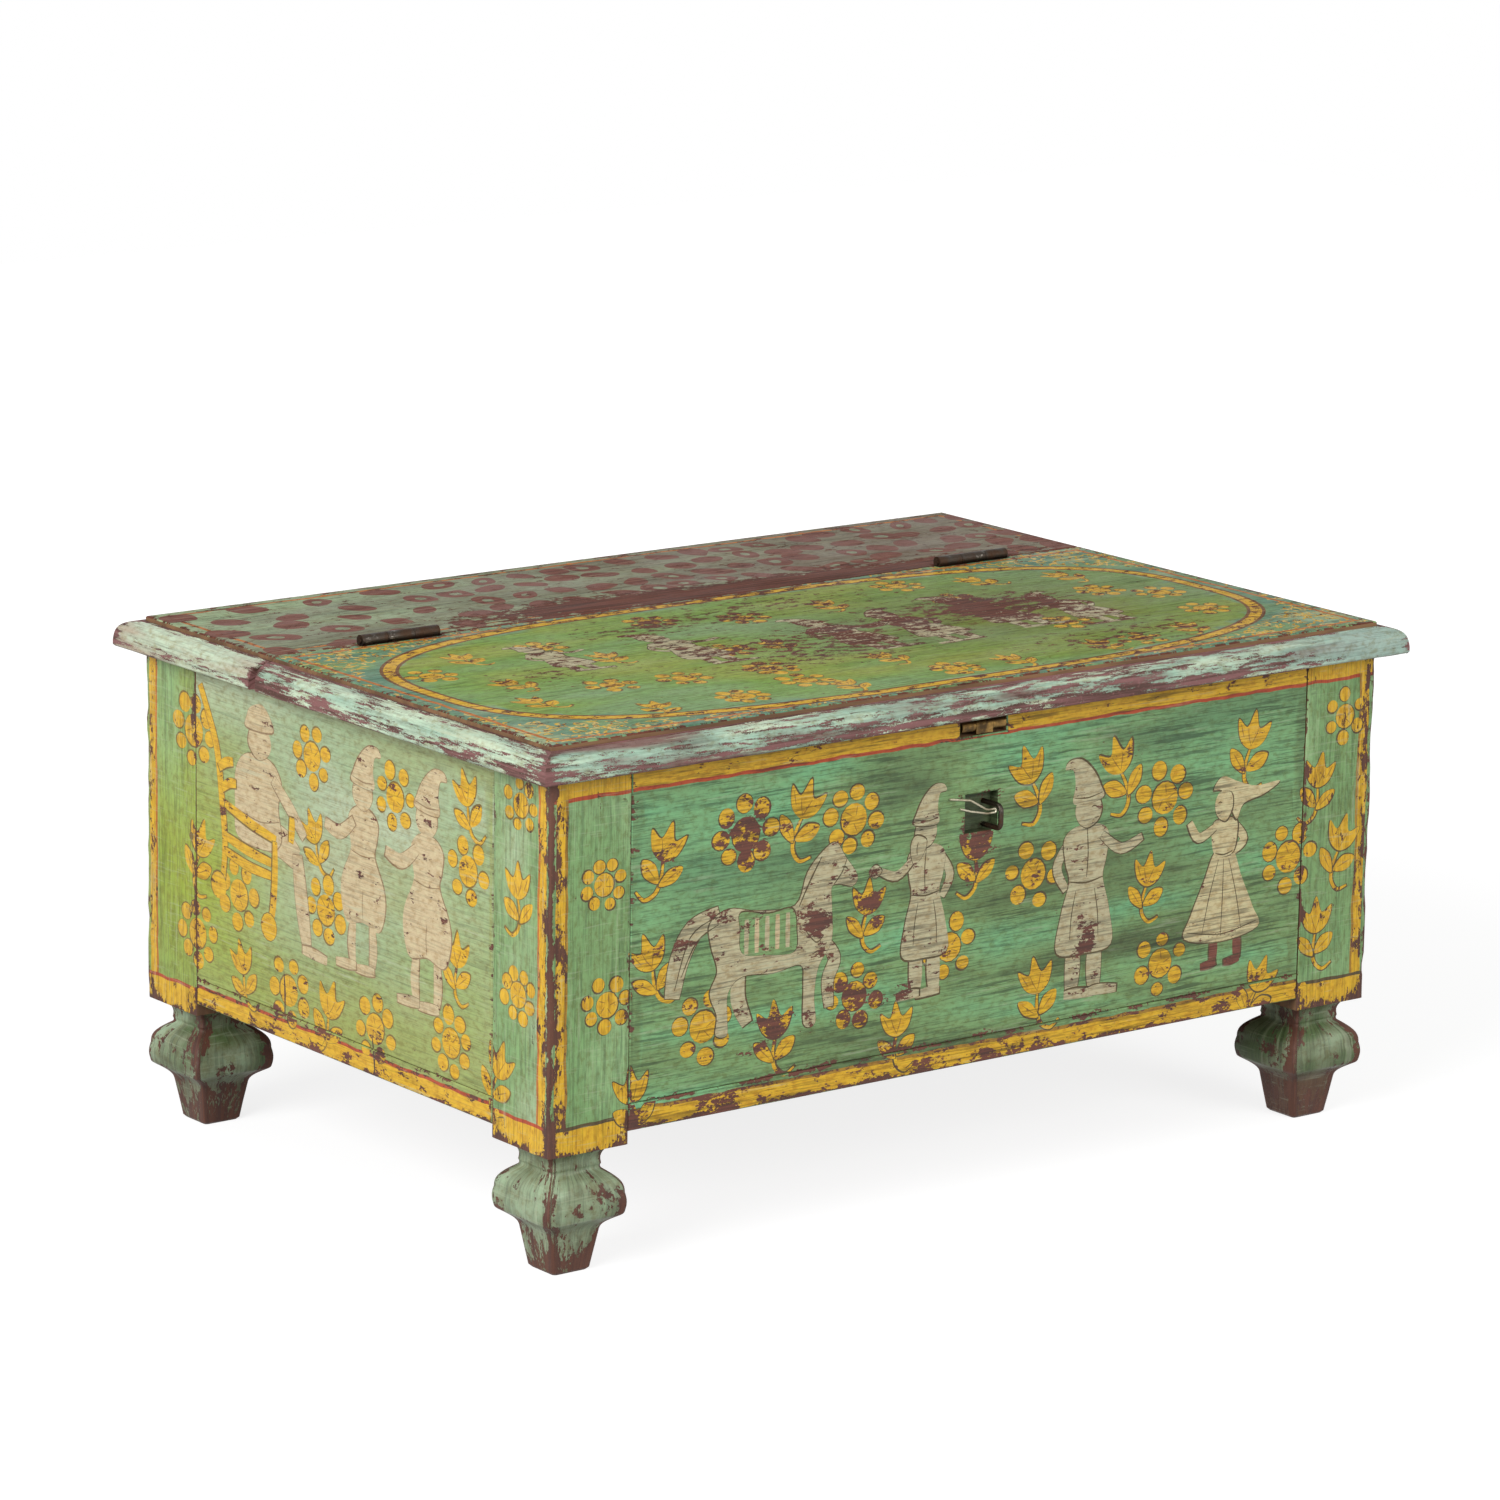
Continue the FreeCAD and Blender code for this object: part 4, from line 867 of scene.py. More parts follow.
class Ground:
    def __init__(self, main, light, dark, stretch, places=(), gain=DRIFT_GAIN):
        self.main = main
        self.light = light
        self.dark = dark
        self.stretch = stretch
        self.places = places
        self.gain = gain

    def coat(self, point):
        drift = drifting(point[0] * self.stretch[0], point[1] * self.stretch[1], self.main[0])
        shade = blend(self.main, self.light, min(max(drift * self.gain, 0), 1))
        shade = blend(shade, self.dark, min(max(-drift * self.gain, 0), 1))
        for middle, reach, colour, strength in self.places:
            shade = blend(shade, colour, strength * nearness(point, middle, reach))
        return shade


PANEL_STRETCH = (6, 34)
LEFT_STRETCH = (5, 16)
POST_STRETCH = (14, 8)
LID_STRETCH = (5, 14)
SPANDREL_STRETCH = (10, 18)
REAR_BOARD_STRETCH = (4, 12)
MOULDING_STRETCH = (7, 60)
FOOT_STRETCH = (30, 25)
LIME_PLACE = (SIDES["left"].at_pixel((195, 880)), (0.115, 0.110), LIME, 0.95)
RUBBED_PLACE = (SIDES["left"].at_pixel((330, 860)), (0.16, 0.05), CHALK, 0.7)
LOW_LIME_PLACE = ((0.02, 0.15), (0.28, 0.045), LOW_LIME, 0.9)
LOW_GREEN_PLACE = (SIDES["left"].at_pixel((470, 1010)), (0.11, 0.10), PALE_LIME, 0.8)
# Painted shade: plain sage in a band under the moulding at the top of the left side
UNDER_MOULDING_SHADE_PLACE = ((0.0, 0.375), (0.24, 0.04), PALE_SAGE, 0.6)
FRONT_PALE_PLACE = (SIDES["front"].at_pixel((690, 850)), (0.15, 0.08), TURQUOISE, 0.5)
FRONT_DARK_PLACE = (SIDES["front"].at_pixel((1100, 860)), (0.13, 0.05), OLIVE, 0.45)
FRONT_HIGH_PLACE = (SIDES["front"].at_pixel((1230, 745)), (0.13, 0.05), TURQUOISE, 0.5)
LID_BROWN_PLACE = (SIDES["top"].at_pixel((1010, 612)), (0.20, 0.13), LID_BROWN, 0.8)
REAR_MAUVE_PLACE = ((0.30, 0.20), (0.34, 0.20), REAR_MAUVE, 0.8)
MOULDING_GREY_PLACE = ((0.42, 0.02), (0.11, 0.10), GREY_MINT, 0.95)
FRONT_PLACES = (FRONT_PALE_PLACE, FRONT_DARK_PLACE, FRONT_HIGH_PLACE)
LEFT_PLACES = (UNDER_MOULDING_SHADE_PLACE, RUBBED_PLACE, LOW_GREEN_PLACE, LOW_LIME_PLACE, LIME_PLACE)
GROUNDS = {
    "front": Ground(SAGE, TURQUOISE, OLIVE, PANEL_STRETCH, FRONT_PLACES, FRONT_GAIN),
    # painted light: the left side's ground is paler than the front's, on the side that faces the key lamp,
    # over its own sage paint
    "left": Ground(PALE_SAGE, CHALK, PALE_OLIVE, LEFT_STRETCH, LEFT_PLACES),
    "right": Ground(SAGE, TURQUOISE, OLIVE, PANEL_STRETCH),
    "rear": Ground(SAGE, PALE_SAGE, OLIVE, PANEL_STRETCH),
    "front post": Ground(POST_GREEN, PALE_POST_GREEN, SAGE, POST_STRETCH),
    # painted light: paler green on the left faces of the posts, the side that faces the key lamp
    "left post": Ground(LEFT_POST_GREEN_AND_PAINTED_LIGHT, PALE_SAGE, POST_GREEN, POST_STRETCH),
    "left rear post": Ground(PALE_LIME, PALE_POST_GREEN, SAGE, POST_STRETCH, (LIME_PLACE,)),
    "foot": Ground(FOOT_GREEN, FOOT_MINT, OLIVE, FOOT_STRETCH),
    "lid": Ground(LID_GREEN, LID_LIME, SAGE, LID_STRETCH, (LID_BROWN_PLACE,)),
    "spandrel": Ground(SPANDREL, PALE_SAGE, SAGE, SPANDREL_STRETCH),
    "rear board": Ground(REAR_GREEN, PALE_SAGE, REAR_OLIVE, REAR_BOARD_STRETCH, (REAR_MAUVE_PLACE,)),
    "moulding": Ground(MINT, PALE_MINT, MOULDING_BROWN, MOULDING_STRETCH),
    "front moulding": Ground(MINT, PALE_MINT, MOULDING_BROWN, MOULDING_STRETCH, (MOULDING_GREY_PLACE,)),
    "left moulding": Ground(blend(MINT, PALE_MINT, 0.5), PALE_MINT, MINT, MOULDING_STRETCH),
    "rear left moulding": Ground(DUSTY_MINT, PALE_MINT, MINT_DUST, MOULDING_STRETCH),
}


# Wear: how much of the paint has gone, from the edges and from known rubbed places
BASE_WEAR = 0.10
EDGE_WEAR = 0.34
EDGE_WEAR_REACH = 0.0035
BARE_WEAR = 0.5
POCKET_WEAR = 0.25


def outline_distance(point, outline):
    """How far a point is from the nearest edge of an outline."""
    best = math.inf
    for start, end in zip(outline, outline[1:] + outline[:1]):
        _, share = geometry.intersect_point_line(Vector(point), Vector(start), Vector(end))
        spot = Vector(blend(start, end, min(max(share, 0), 1)))
        best = min(best, (Vector(point) - spot).length)
    return best


class Wear:
    def __init__(self, base, places=()):
        self.base = base
        self.places = places

    def at(self, point, far):
        amount = self.base + EDGE_WEAR * math.exp(-far / EDGE_WEAR_REACH)
        for middle, reach, strength in self.places:
            amount += strength * nearness(point, middle, reach)
        return amount


# Meshes
class Piece:
    """Faces of one visible piece, with its paint, its wear and its grain at every corner."""

    def __init__(self):
        self.points = []
        self.faces = []
        self.looks = []
        self.finishes = []

    def add_points(self, places):
        first = len(self.points)
        self.points.extend(tuple(place) for place in places)
        return list(range(first, len(self.points)))

    def add_face(self, corners, looks, finish=0):
        self.faces.append(corners)
        self.looks.append(looks)
        self.finishes.append(finish)

    def add_strip(self, upper, lower, looks_upper, looks_lower, finish=0):
        """Faces between two loops of points, the upper one seen counterclockwise from above."""
        count = len(upper)
        for rank in range(count):
            after = (rank + 1) % count
            corners = [upper[after], upper[rank], lower[rank], lower[after]]
            looks = [looks_upper[after], looks_upper[rank], looks_lower[rank], looks_lower[after]]
            self.add_face(corners, looks, finish)

    def add_strips(self, loops, looks):
        for upper, lower, upper_looks, lower_looks in zip(loops, loops[1:], looks, looks[1:]):
            self.add_strip(upper, lower, upper_looks, lower_looks)

    def make(self, name, body, finishes, smooth_angle=None):
        """The object that stands in for the solid of that name."""
        mesh = bpy.data.meshes.new(name + "_painted")
        mesh.from_pydata(self.points, [], self.faces)
        corners = [look for looks in self.looks for look in looks]
        coat = mesh.attributes.new("coat", "FLOAT_COLOR", "CORNER")
        coat.data.foreach_set("color", [level for look in corners for level in (*look[0], 1.0)])
        wear = mesh.attributes.new("wear", "FLOAT", "CORNER")
        wear.data.foreach_set("value", [look[1] for look in corners])
        grain = mesh.attributes.new("grain", "FLOAT_VECTOR", "CORNER")
        grain.data.foreach_set("vector", [value for look in corners for value in look[2]])
        for finish in finishes:
            mesh.materials.append(finish)
        mesh.polygons.foreach_set("material_index", self.finishes)
        mesh.update(calc_edges=True)
        mesh.validate()
        if smooth_angle:
            mesh.polygons.foreach_set("use_smooth", [True] * len(mesh.polygons))
            mesh.set_sharp_from_angle(angle=smooth_angle)
        made = bpy.data.objects.new(name + "_painted", mesh)
        bpy.context.scene.collection.objects.link(made)
        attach(made, body)
        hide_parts(name)


CUT_TOLERANCE = 1e-6
SPOT_DIGITS = 7
GIRTH_DIGITS = 6
GRID_STEP = 0.012
EASE = 0.0009
GUIDE_INSETS = (0.0015, 0.004, 0.009)
SEAM_GAP = 0.0004
TRIANGLE_EDGES = ((0, 1), (1, 2), (2, 0))


def rectangle(left, low, right, high):
    return [(left, low), (right, low), (right, high), (left, high)]


def inside(outline, across, up):
    """Which of the points lie inside the outline."""
    result = np.zeros(len(across), bool)
    for start, end in zip(outline, outline[1:] + outline[:1]):
        rise = end[1] - start[1]
        if rise:
            crossed = (start[1] > up) != (end[1] > up)
            result ^= crossed & (across < (end[0] - start[0]) * (up - start[1]) / rise + start[0])
    return result


def cut_sheet(outline, shapes, holes, guides, loose):
    """Triangles of the outline without its holes, cut along every shape, and the top shape on each."""
    points, edges = [], []

    def numbered(line):
        first = len(points)
        points.extend(Vector(point) for point in line)
        return list(range(first, len(points)))

    loops = [outline, *holes, *(shape.points for shape in shapes)]
    for line in [*(closed(loop) for loop in loops), *guides]:
        ranks = numbered(line)
        edges += zip(ranks, ranks[1:])
    numbered(loose)
    made, _, triangles, _, _, _ = geometry.delaunay_2d_cdt(points, edges, [], 0, CUT_TOLERANCE, False)
    flat = np.array([tuple(point) for point in made])
    triangles = np.array([list(triangle) for triangle in triangles])
    across, up = flat[triangles].mean(axis=1).T
    keep = inside(outline, across, up)
    for hole in holes:
        keep &= ~inside(hole, across, up)
    triangles, across, up = triangles[keep], across[keep], up[keep]
    tops = np.full(len(triangles), -1)
    for rank, shape in enumerate(shapes):
        loop = np.array(shape.points)
        low, high = loop.min(axis=0), loop.max(axis=0)
        near = np.flatnonzero((across > low[0]) & (across < high[0]) & (up > low[1]) & (up < high[1]))
        if shape.zone:
            near = near[(across[near] > shape.zone[0]) & (across[near] < shape.zone[1])]
        tops[near[inside(shape.points, across[near], up[near])]] = rank
    return flat.tolist(), triangles.tolist(), tops.tolist()


def boundary_loops(triangles):
    """Loops along the open edges of a sheet of triangles, in the triangles' own sense."""
    edges = {(triangle[start], triangle[end]) for triangle in triangles for start, end in TRIANGLE_EDGES}
    ahead = {start: end for start, end in edges if (end, start) not in edges}
    loops = []
    while ahead:
        start, end = ahead.popitem()
        loop = [start]
        while end != start:
            loop.append(end)
            end = ahead.pop(end)
        loops.append(loop)
    return loops


def overlaps(shape, low, high):
    across = [point[0] for point in shape.points]
    up = [point[1] for point in shape.points]
    return min(across) < high[0] and max(across) > low[0] and min(up) < high[1] and max(up) > low[1]


def grid_inside(low, high):
    """Evenly spaced points between two corners."""
    counts = [max(int((b - a) / GRID_STEP), 1) for a, b in zip(low, high)]
    steps = [(b - a) / count for a, b, count in zip(low, high, counts)]
    return [(low[0] + steps[0] * column, low[1] + steps[1] * row)
            for column in range(1, counts[0]) for row in range(1, counts[1])]


def closed(loop):
    return loop + loop[:1]


def divided(loop, step):
    """The loop with more points along its straight runs."""
    line = []
    for start, end in zip(loop, loop[1:] + loop[:1]):
        count = max(int(math.dist(start, end) / step), 1)
        line += [blend(start, end, rank / count) for rank in range(count)]
    return line


def level_of(name):
    """A number of its own for each piece, so that no two have the same grain."""
    return sum(ord(letter) for letter in name) / len(name)


def board(name, side, outline, thickness, picture, ground, wear, body, finishes,
          pockets=(), back_pockets=(), extra=None):
    """A painted board with eased edges: its outer face is cut along the picture, its inside is bare."""
    face = SIDES[side]
    piece = Piece()
    edge = divided(offset_loop(outline, -EASE), GRID_STEP)
    low = tuple(min(point[axis] for point in edge) for axis in (0, 1))
    high = tuple(max(point[axis] for point in edge) for axis in (0, 1))
    shapes = [shape for shape in picture if overlaps(shape, low, high)]
    guides = [closed(offset_loop(outline, -inset)) for inset in GUIDE_INSETS]
    holes = [offset_loop(pocket, EASE) for pocket, _ in pockets]
    points, triangles, tops = cut_sheet(edge, shapes, holes, guides, grid_inside(low, high))
    rims = [outline] + [pocket for pocket, _ in pockets]
    used = sorted({rank for triangle in triangles for rank in triangle})
    plain = {}
    for rank in used:
        point = points[rank]
        far = min(outline_distance(point, rim) for rim in rims)
        plain[rank] = (ground(point), wear.at(point, far), (*point, level_of(name)))
    numbers = dict(zip(used, piece.add_points(face.solid(points[rank]) for rank in used)))
    for triangle, top in zip(triangles, tops):
        looks = [plain[rank] for rank in triangle]
        if top >= 0:
            shape = shapes[top]
            looks = [(shape.coat or coat, worn + shape.frail, grain) for coat, worn, grain in looks]
        piece.add_face([numbers[rank] for rank in triangle], looks)
    for loop in boundary_loops(triangles):
        flat = [points[rank] for rank in loop]
        looks = [plain[rank] for rank in loop]
        rim = [numbers[rank] for rank in loop]
        if loop_area(flat) > 0:
            add_board_edge(piece, face, rim, flat, looks, thickness, back_pockets)
        else:
            add_pocket(piece, face, rim, flat, looks, pocket_depth(flat, pockets))
    if extra:
        extra(piece)
    piece.make(name, body, finishes)


def add_eased_edge(piece, face, rim, flat, looks):
    """The rounded edge round a face, and the ring of points that it ends in."""
    wide = offset_loop(flat, EASE)
    ring = piece.add_points(face.solid(point, EASE) for point in wide)
    piece.add_strip(rim, ring, looks, looks)
    return wide, ring


def add_board_edge(piece, face, rim, flat, looks, thickness, back_pockets):
    wide, ring = add_eased_edge(piece, face, rim, flat, looks)
    low_ring = piece.add_points(face.solid(point, thickness - EASE) for point in wide)
    back_ring = piece.add_points(face.solid(point, thickness) for point in flat)
    piece.add_strip(ring, low_ring, looks, looks, 1)
    piece.add_strip(low_ring, back_ring, looks, looks, 1)
    add_back(piece, face, back_ring, flat, looks, thickness, back_pockets)


def add_pocket(piece, face, rim, flat, looks, depth):
    wide, ring = add_eased_edge(piece, face, rim, flat, looks)
    # The pocket's walls and floor: its green paint, darkened as painted shade
    shaded_sunk = [(POCKET_GREEN_AND_SHADE, POCKET_WEAR, grain) for _, _, grain in looks]
    floor = piece.add_points(face.solid(point, depth) for point in wide)
    piece.add_strip(ring, floor, shaded_sunk, shaded_sunk)
    piece.add_face(floor[::-1], shaded_sunk[::-1])


def pocket_depth(flat, pockets):
    """Depth of the pocket that a loop belongs to."""
    middle = [sum(point[axis] for point in flat) / len(flat) for axis in (0, 1)]
    return min(pockets, key=lambda pocket: math.dist(middle, pocket[0][0]))[1]


def add_back(piece, face, ring, flat, looks, depth, pockets):
    """The inner face of a board, with its pockets."""
    if not pockets:
        piece.add_face(ring[::-1], looks[::-1], 1)
        return
    points, triangles, _ = cut_sheet(flat, [], [pocket for pocket, _ in pockets], [], [])
    spots = {tuple(round(value, SPOT_DIGITS) for value in point): rank for point, rank in zip(flat, ring)}
    blank = looks[0]
    numbers = []
    for point in points:
        known = spots.get(tuple(round(value, SPOT_DIGITS) for value in point))
        numbers.append(known if known is not None else piece.add_points([face.solid(point, depth)])[0])
    for triangle in triangles:
        piece.add_face([numbers[rank] for rank in triangle[::-1]], [blank] * 3, 1)
    for loop in boundary_loops(triangles):
        edge = [points[rank] for rank in loop]
        if loop_area(edge) < 0:
            cut = pocket_depth(edge, pockets)
            floor = piece.add_points(face.solid(point, depth - cut) for point in edge)
            rim = [numbers[rank] for rank in loop]
            blanks = [blank] * len(loop)
            piece.add_strip(floor, rim, blanks, blanks, 1)
            piece.add_face(floor, blanks, 1)


# Corner posts with carved feet
ARRIS = 0.0040
ARRIS_STEPS = 4
ARRIS_WEAR_REACH = 0.0060
ARRIS_WAVES = 40
ARRIS_ROUND_SHARE = 0.55
LEAST_ROUND_SHARE = 0.2
SEAM_ARRIS = 0.0010
POST_GRID = 0.010
POST_SMOOTH = math.radians(35)
POST_SHIFTS = (7, 3)
POST_SIDES = ("left", "front", "right", "rear")
OUTER_CORNERS = {"post_front_left": 1, "post_front_right": 2, "post_rear_right": 3, "post_rear_left": 0}
FRONT_SEAM_SHARE = -0.5
REAR_SEAM_SHARE = 1.5
POST_WEAR = {
    # the trunk's own corner, the foot, the foot's low end, and the share of bare rust there
    "post_front_left": (0.72, 0.24, 0.34, 0.2),
    "post_front_right": (0.46, 0.30, 0.25, 1.0),
    "post_rear_left": (0.36, 0.32, 0.25, 0.4),
    "post_rear_right": (0.5, 0.36, 0.3, 0.4),
}
FOOT_RAW_HEIGHT = 0.043
FOOT_RAW_POWER = 8
FOOT_ARRIS = 0.0035
FOOT_ARRIS_SHARE = 0.3
FOOT_ARRIS_WEAR = 0.32
FOOT_SHARP_SHARE = 0.25
FOOT_ROUND_SHARE = 0.6
FOOT_WAVES = 60
ANKLE = 0.032
FOOT_STEPS = 9
FOOT_STRAIGHT_STEPS = 2
FOOT_ACROSS = 8
FOOT_PROFILE = (
    # height, half width, belly of the line to the next height
    (0.0000, 0.0160, 0.0000),
    (0.0020, 0.0180, 0.0000),
    (0.0320, 0.0230, -0.0030),
    (0.0450, 0.0345, 0.0006),
    (0.0480, 0.0375, 0.0012),
    (0.0640, 0.0375, 0.0042),
    (0.0830, 0.0240, -0.0006),
    (0.0870, 0.0240, -0.0028),
    (0.1030, 0.0300, 0.0000),
    (0.1045, 0.0300, 0.0000),
)


def corner_roundness(corner, outer_corner, height, shift):
    """How far a post's corner is rounded; the trunk's own corner is worn unevenly."""
    if corner != outer_corner:
        return SEAM_ARRIS / ARRIS
    drift = drifting(shift, height * ARRIS_WAVES, corner)
    return min(max(ARRIS_ROUND_SHARE + drift, LEAST_ROUND_SHARE), 1.0)


def wrapped(place, height, middle, outer_corner, shift):
    """A place along the girth of a square post, with its corners rounded."""
    rank = math.floor(place / POST_WIDTH)
    half = POST_WIDTH / 2
    across = place - rank * POST_WIDTH - half
    spot = Vector((-half, -across))
    reach = half - abs(across)
    if reach < ARRIS:
        corner = (rank + (1 if across > 0 else 0)) % 4
        angle = (1 - reach / ARRIS) * math.pi / 4
        curve = ARRIS * Vector((1 - math.cos(angle), 1 - math.sin(angle)))
        round_spot = Vector((-half + curve[0], math.copysign(half - curve[1], -across)))
        spot = spot.lerp(round_spot, corner_roundness(corner, outer_corner, height, shift))
    spot = Matrix.Rotation(math.pi / 2 * rank, 2) @ spot
    return (middle[0] + spot[0], middle[1] + spot[1], height)


def post_ground(side, rear):
    if side != "left":
        return "front post"
    return "left rear post" if rear else "left post"


def girth_place(side, low, high):
    """Where a side's own zero lies along the girth of the post between low and high."""
    return {"left": high[1], "front": POST_WIDTH - low[0], "right": 2 * POST_WIDTH - low[1],
            "rear": 3 * POST_WIDTH + high[0]}[side]


def post_zones(outer, low, high, start):
    """For each painted side of a post: its span along the girth, and where that side's own zero lies."""
    zones = {}
    for rank, side in enumerate(POST_SIDES):
        if side in outer:
            turn = 4 * POST_WIDTH if rank * POST_WIDTH + POST_WIDTH / 2 < start else 0
            zone_start = rank * POST_WIDTH + turn
            zones[side] = ((zone_start, zone_start + POST_WIDTH), girth_place(side, low, high) + turn)
    return zones


def post_shapes(zones, pictures):
    shapes = []
    for side, (zone, place) in zones.items():
        for shape in pictures[side]:
            moved = shape.moved(place, zone)
            if overlaps(moved, (zone[0] + SEAM_GAP, POST_FOOT), (zone[1] - SEAM_GAP, BODY_TOP)):
                shapes.append(moved)
    return shapes


def cut_post(start, end, shapes):
    """The girth of a post, unrolled and cut along its pictures, with more points at its corners."""
    columns = {start, end}
    for rank in range(math.ceil(start / POST_WIDTH), math.ceil(end / POST_WIDTH)):
        for step in range(-ARRIS_STEPS, ARRIS_STEPS + 1):
            columns.add(rank * POST_WIDTH + ARRIS * step / ARRIS_STEPS)
    rows = max(int((BODY_TOP - POST_FOOT) / POST_GRID), 1)
    heights = [POST_FOOT + (BODY_TOP - POST_FOOT) * rank / rows for rank in range(rows + 1)]
    loose = [(column, height) for column in sorted(columns) for height in heights]
    count = int((end - start) / GRID_STEP)
    loose += [(start + (end - start) * (rank + 0.5) / count, height)
              for rank in range(count) for height in heights[1:-1]]
    guides = [[(column, POST_FOOT), (column, BODY_TOP)] for column in sorted(columns)]
    return cut_sheet(rectangle(start, POST_FOOT, end, BODY_TOP), shapes, [], guides, loose)


def wrapped_numbers(piece, points, start, end, placed):
    """Adds the points of a post's girth, joined at the seam; gives the number of each."""
    numbers, ranks = {}, []
    for across, up in points:
        if abs(across - end) < CUT_TOLERANCE:
            across = start
        key = (round(across, GIRTH_DIGITS), round(up, GIRTH_DIGITS))
        if key not in numbers:
            numbers[key] = piece.add_points([placed(across, up)])[0]
        ranks.append(numbers[key])
    return ranks


def post(name, pictures, finishes):
    """A corner post: its girth is cut unrolled, then wrapped round and closed at a seam inside the trunk."""
    low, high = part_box(name)
    outer = name.split("_")[1:]
    outer_corner = OUTER_CORNERS[name]
    seam = FRONT_SEAM_SHARE if "front" in outer else REAR_SEAM_SHARE
    start, end = seam * POST_WIDTH, (seam + 4) * POST_WIDTH
    middle = ((low[0] + high[0]) / 2, (low[1] + high[1]) / 2)
    shift = low[0] * POST_SHIFTS[0] + low[1] * POST_SHIFTS[1]
    zones = post_zones(outer, low, high, start)
    shapes = post_shapes(zones, pictures)
    points, triangles, tops = cut_post(start, end, shapes)
    piece = Piece()

    def placed(across, up):
        return wrapped(across, up, middle, outer_corner, shift)

    def side_at(across):
        return POST_SIDES[math.floor(across / POST_WIDTH) % 4]

    def look(point, shape):
        nearest = round(point[0] / POST_WIDTH)
        far = abs(point[0] - nearest * POST_WIDTH)
        if nearest % 4 == outer_corner:
            worn = POST_WEAR[name][0] * math.exp(-far / ARRIS_WEAR_REACH)
        else:
            worn = EDGE_WEAR * math.exp(-far / EDGE_WEAR_REACH)
        worn += BASE_WEAR + EDGE_WEAR * math.exp(-(point[1] - POST_FOOT) / EDGE_WEAR_REACH)
        grain = (point[1], point[0], shift)
        if shape:
            return (shape.coat, worn + shape.frail, grain)
        side = side_at(point[0])
        spot = (point[0] - zones[side][1], point[1]) if side in zones else point
        return (GROUNDS[post_ground(side, "rear" in outer)].coat(spot), worn, grain)

    ranks = wrapped_numbers(piece, points, start, end, placed)
    kept = []
    for triangle, top in zip(triangles, tops):
        corners = [ranks[rank] for rank in triangle]
        if len(set(corners)) == 3:
            kept.append(corners)
            shape = shapes[top] if top >= 0 else None
            looks = [look(points[rank], shape) for rank in triangle]
            hidden = side_at(sum(points[rank][0] for rank in triangle) / 3) not in outer
            piece.add_face(corners, looks, 1 if hidden else 0)
    for loop in boundary_loops(kept):
        piece.add_face(loop[::-1], [(MAROON, BARE_WEAR, (0, 0, shift))] * len(loop), 1)
    add_foot(piece, name, middle, shift)
    piece.make(name, "carcase", finishes, POST_SMOOTH)


def foot_rings():
    """Heights and half widths up the foot, with the bellies of its curves."""
    rings = []
    for (low, narrow, belly), (high, wide, _) in zip(FOOT_PROFILE, FOOT_PROFILE[1:]):
        steps = FOOT_STEPS if belly else FOOT_STRAIGHT_STEPS
        for step in range(steps):
            share = step / steps
            bulge = belly * math.sin(math.pi * share)
            rings.append((low + (high - low) * share, narrow + (wide - narrow) * share + bulge))
    rings.append(FOOT_PROFILE[-1][:2])
    return rings


def foot_loop(half, ease_share):
    """Rounded square, counterclockwise from above, with each point's distance from a corner."""
    places = []
    ease = min(FOOT_ARRIS, half * FOOT_ARRIS_SHARE)
    sharp = Vector((half, -half))
    for rank in range(4):
        turn = Matrix.Rotation(math.pi / 2 * rank, 2)
        for step in range(FOOT_ACROSS):
            across = -half + ease + (half - ease) * 2 * step / FOOT_ACROSS
            places.append((turn @ Vector((across, -half)), half - abs(across)))
        corner = Vector((half - ease, -half + ease))
        for step in range(ARRIS_STEPS):
            angle = -math.pi / 2 + math.pi / 2 * step / ARRIS_STEPS
            round_spot = corner + ease * Vector((math.cos(angle), math.sin(angle)))
            places.append((turn @ round_spot.lerp(sharp, FOOT_SHARP_SHARE * (1 - ease_share)), 0))
    return places


def add_foot(piece, name, middle, shift):
    _, foot_wear, end_wear, rust_share = POST_WEAR[name]
    loops, looks = [], []
    for height, half in foot_rings():
        drift = noise.noise(Vector((shift, height * FOOT_WAVES, 0)))
        places = foot_loop(half, min(max(FOOT_ROUND_SHARE + drift, 0), 1))
        ring = [(middle[0] + spot[0], middle[1] + spot[1], height) for spot, _ in places]
        loops.append(piece.add_points(ring))
        low_wear = end_wear * math.exp(-height / ANKLE)
        raw_share = rust_share * math.exp(-(height / FOOT_RAW_HEIGHT) ** FOOT_RAW_POWER)
        ring_looks = []
        for rank, (spot, far) in enumerate(places):
            girth = POST_WIDTH * math.pi * rank / len(places)
            worn = foot_wear + FOOT_ARRIS_WEAR * math.exp(-far / FOOT_ARRIS) + low_wear
            coat = GROUNDS["foot"].coat((spot[0] + shift, height + spot[1]))
            ring_looks.append((blend(coat, FOOT_RUST, raw_share), worn, (height, girth, shift)))
        looks.append(ring_looks)
    piece.add_strips(loops[::-1], looks[::-1])
    piece.add_face(loops[0][::-1], looks[0][::-1])
    piece.add_face(loops[-1], looks[-1])


# Mouldings
OVERHANG = -HALF_LENGTH - CAD_BOX[0][0]
MOULDING_HEIGHT = 0.022
NOSE_HEIGHT = 0.005
TOE_BEVEL = 0.0012
QUIRK = 0.003
QUIRK_DIP = 0.0012
CREST_SHARE = 1.6
QUIRK_SHARES = ((1.3, 1, 0.5), (1, 1, 0.55), (0.7, 0, 0.6), (0, 0, 0.75))
OVOLO_BELLY = 0.0052
OVOLO_STEPS = 10
UNDER_WEAR = 0.6
TOE_WEAR = 0.55
NOSE_WEAR = 0.45
OVOLO_WEAR = 0.29
OVOLO_EDGE_WEAR = 0.18
OVOLO_EDGE_POWER = 3
OVOLO_LOW_WEAR = 0.12
MOULDING_STEP = 0.006
MOULDING_END = 0.005
MOULDING_END_WEAR = 0.35
MOULDING_WAVES = (30, 80)
MOULDING_PATCH_WAVES = 9
MOULDING_PATCH_WEAR = 0.10
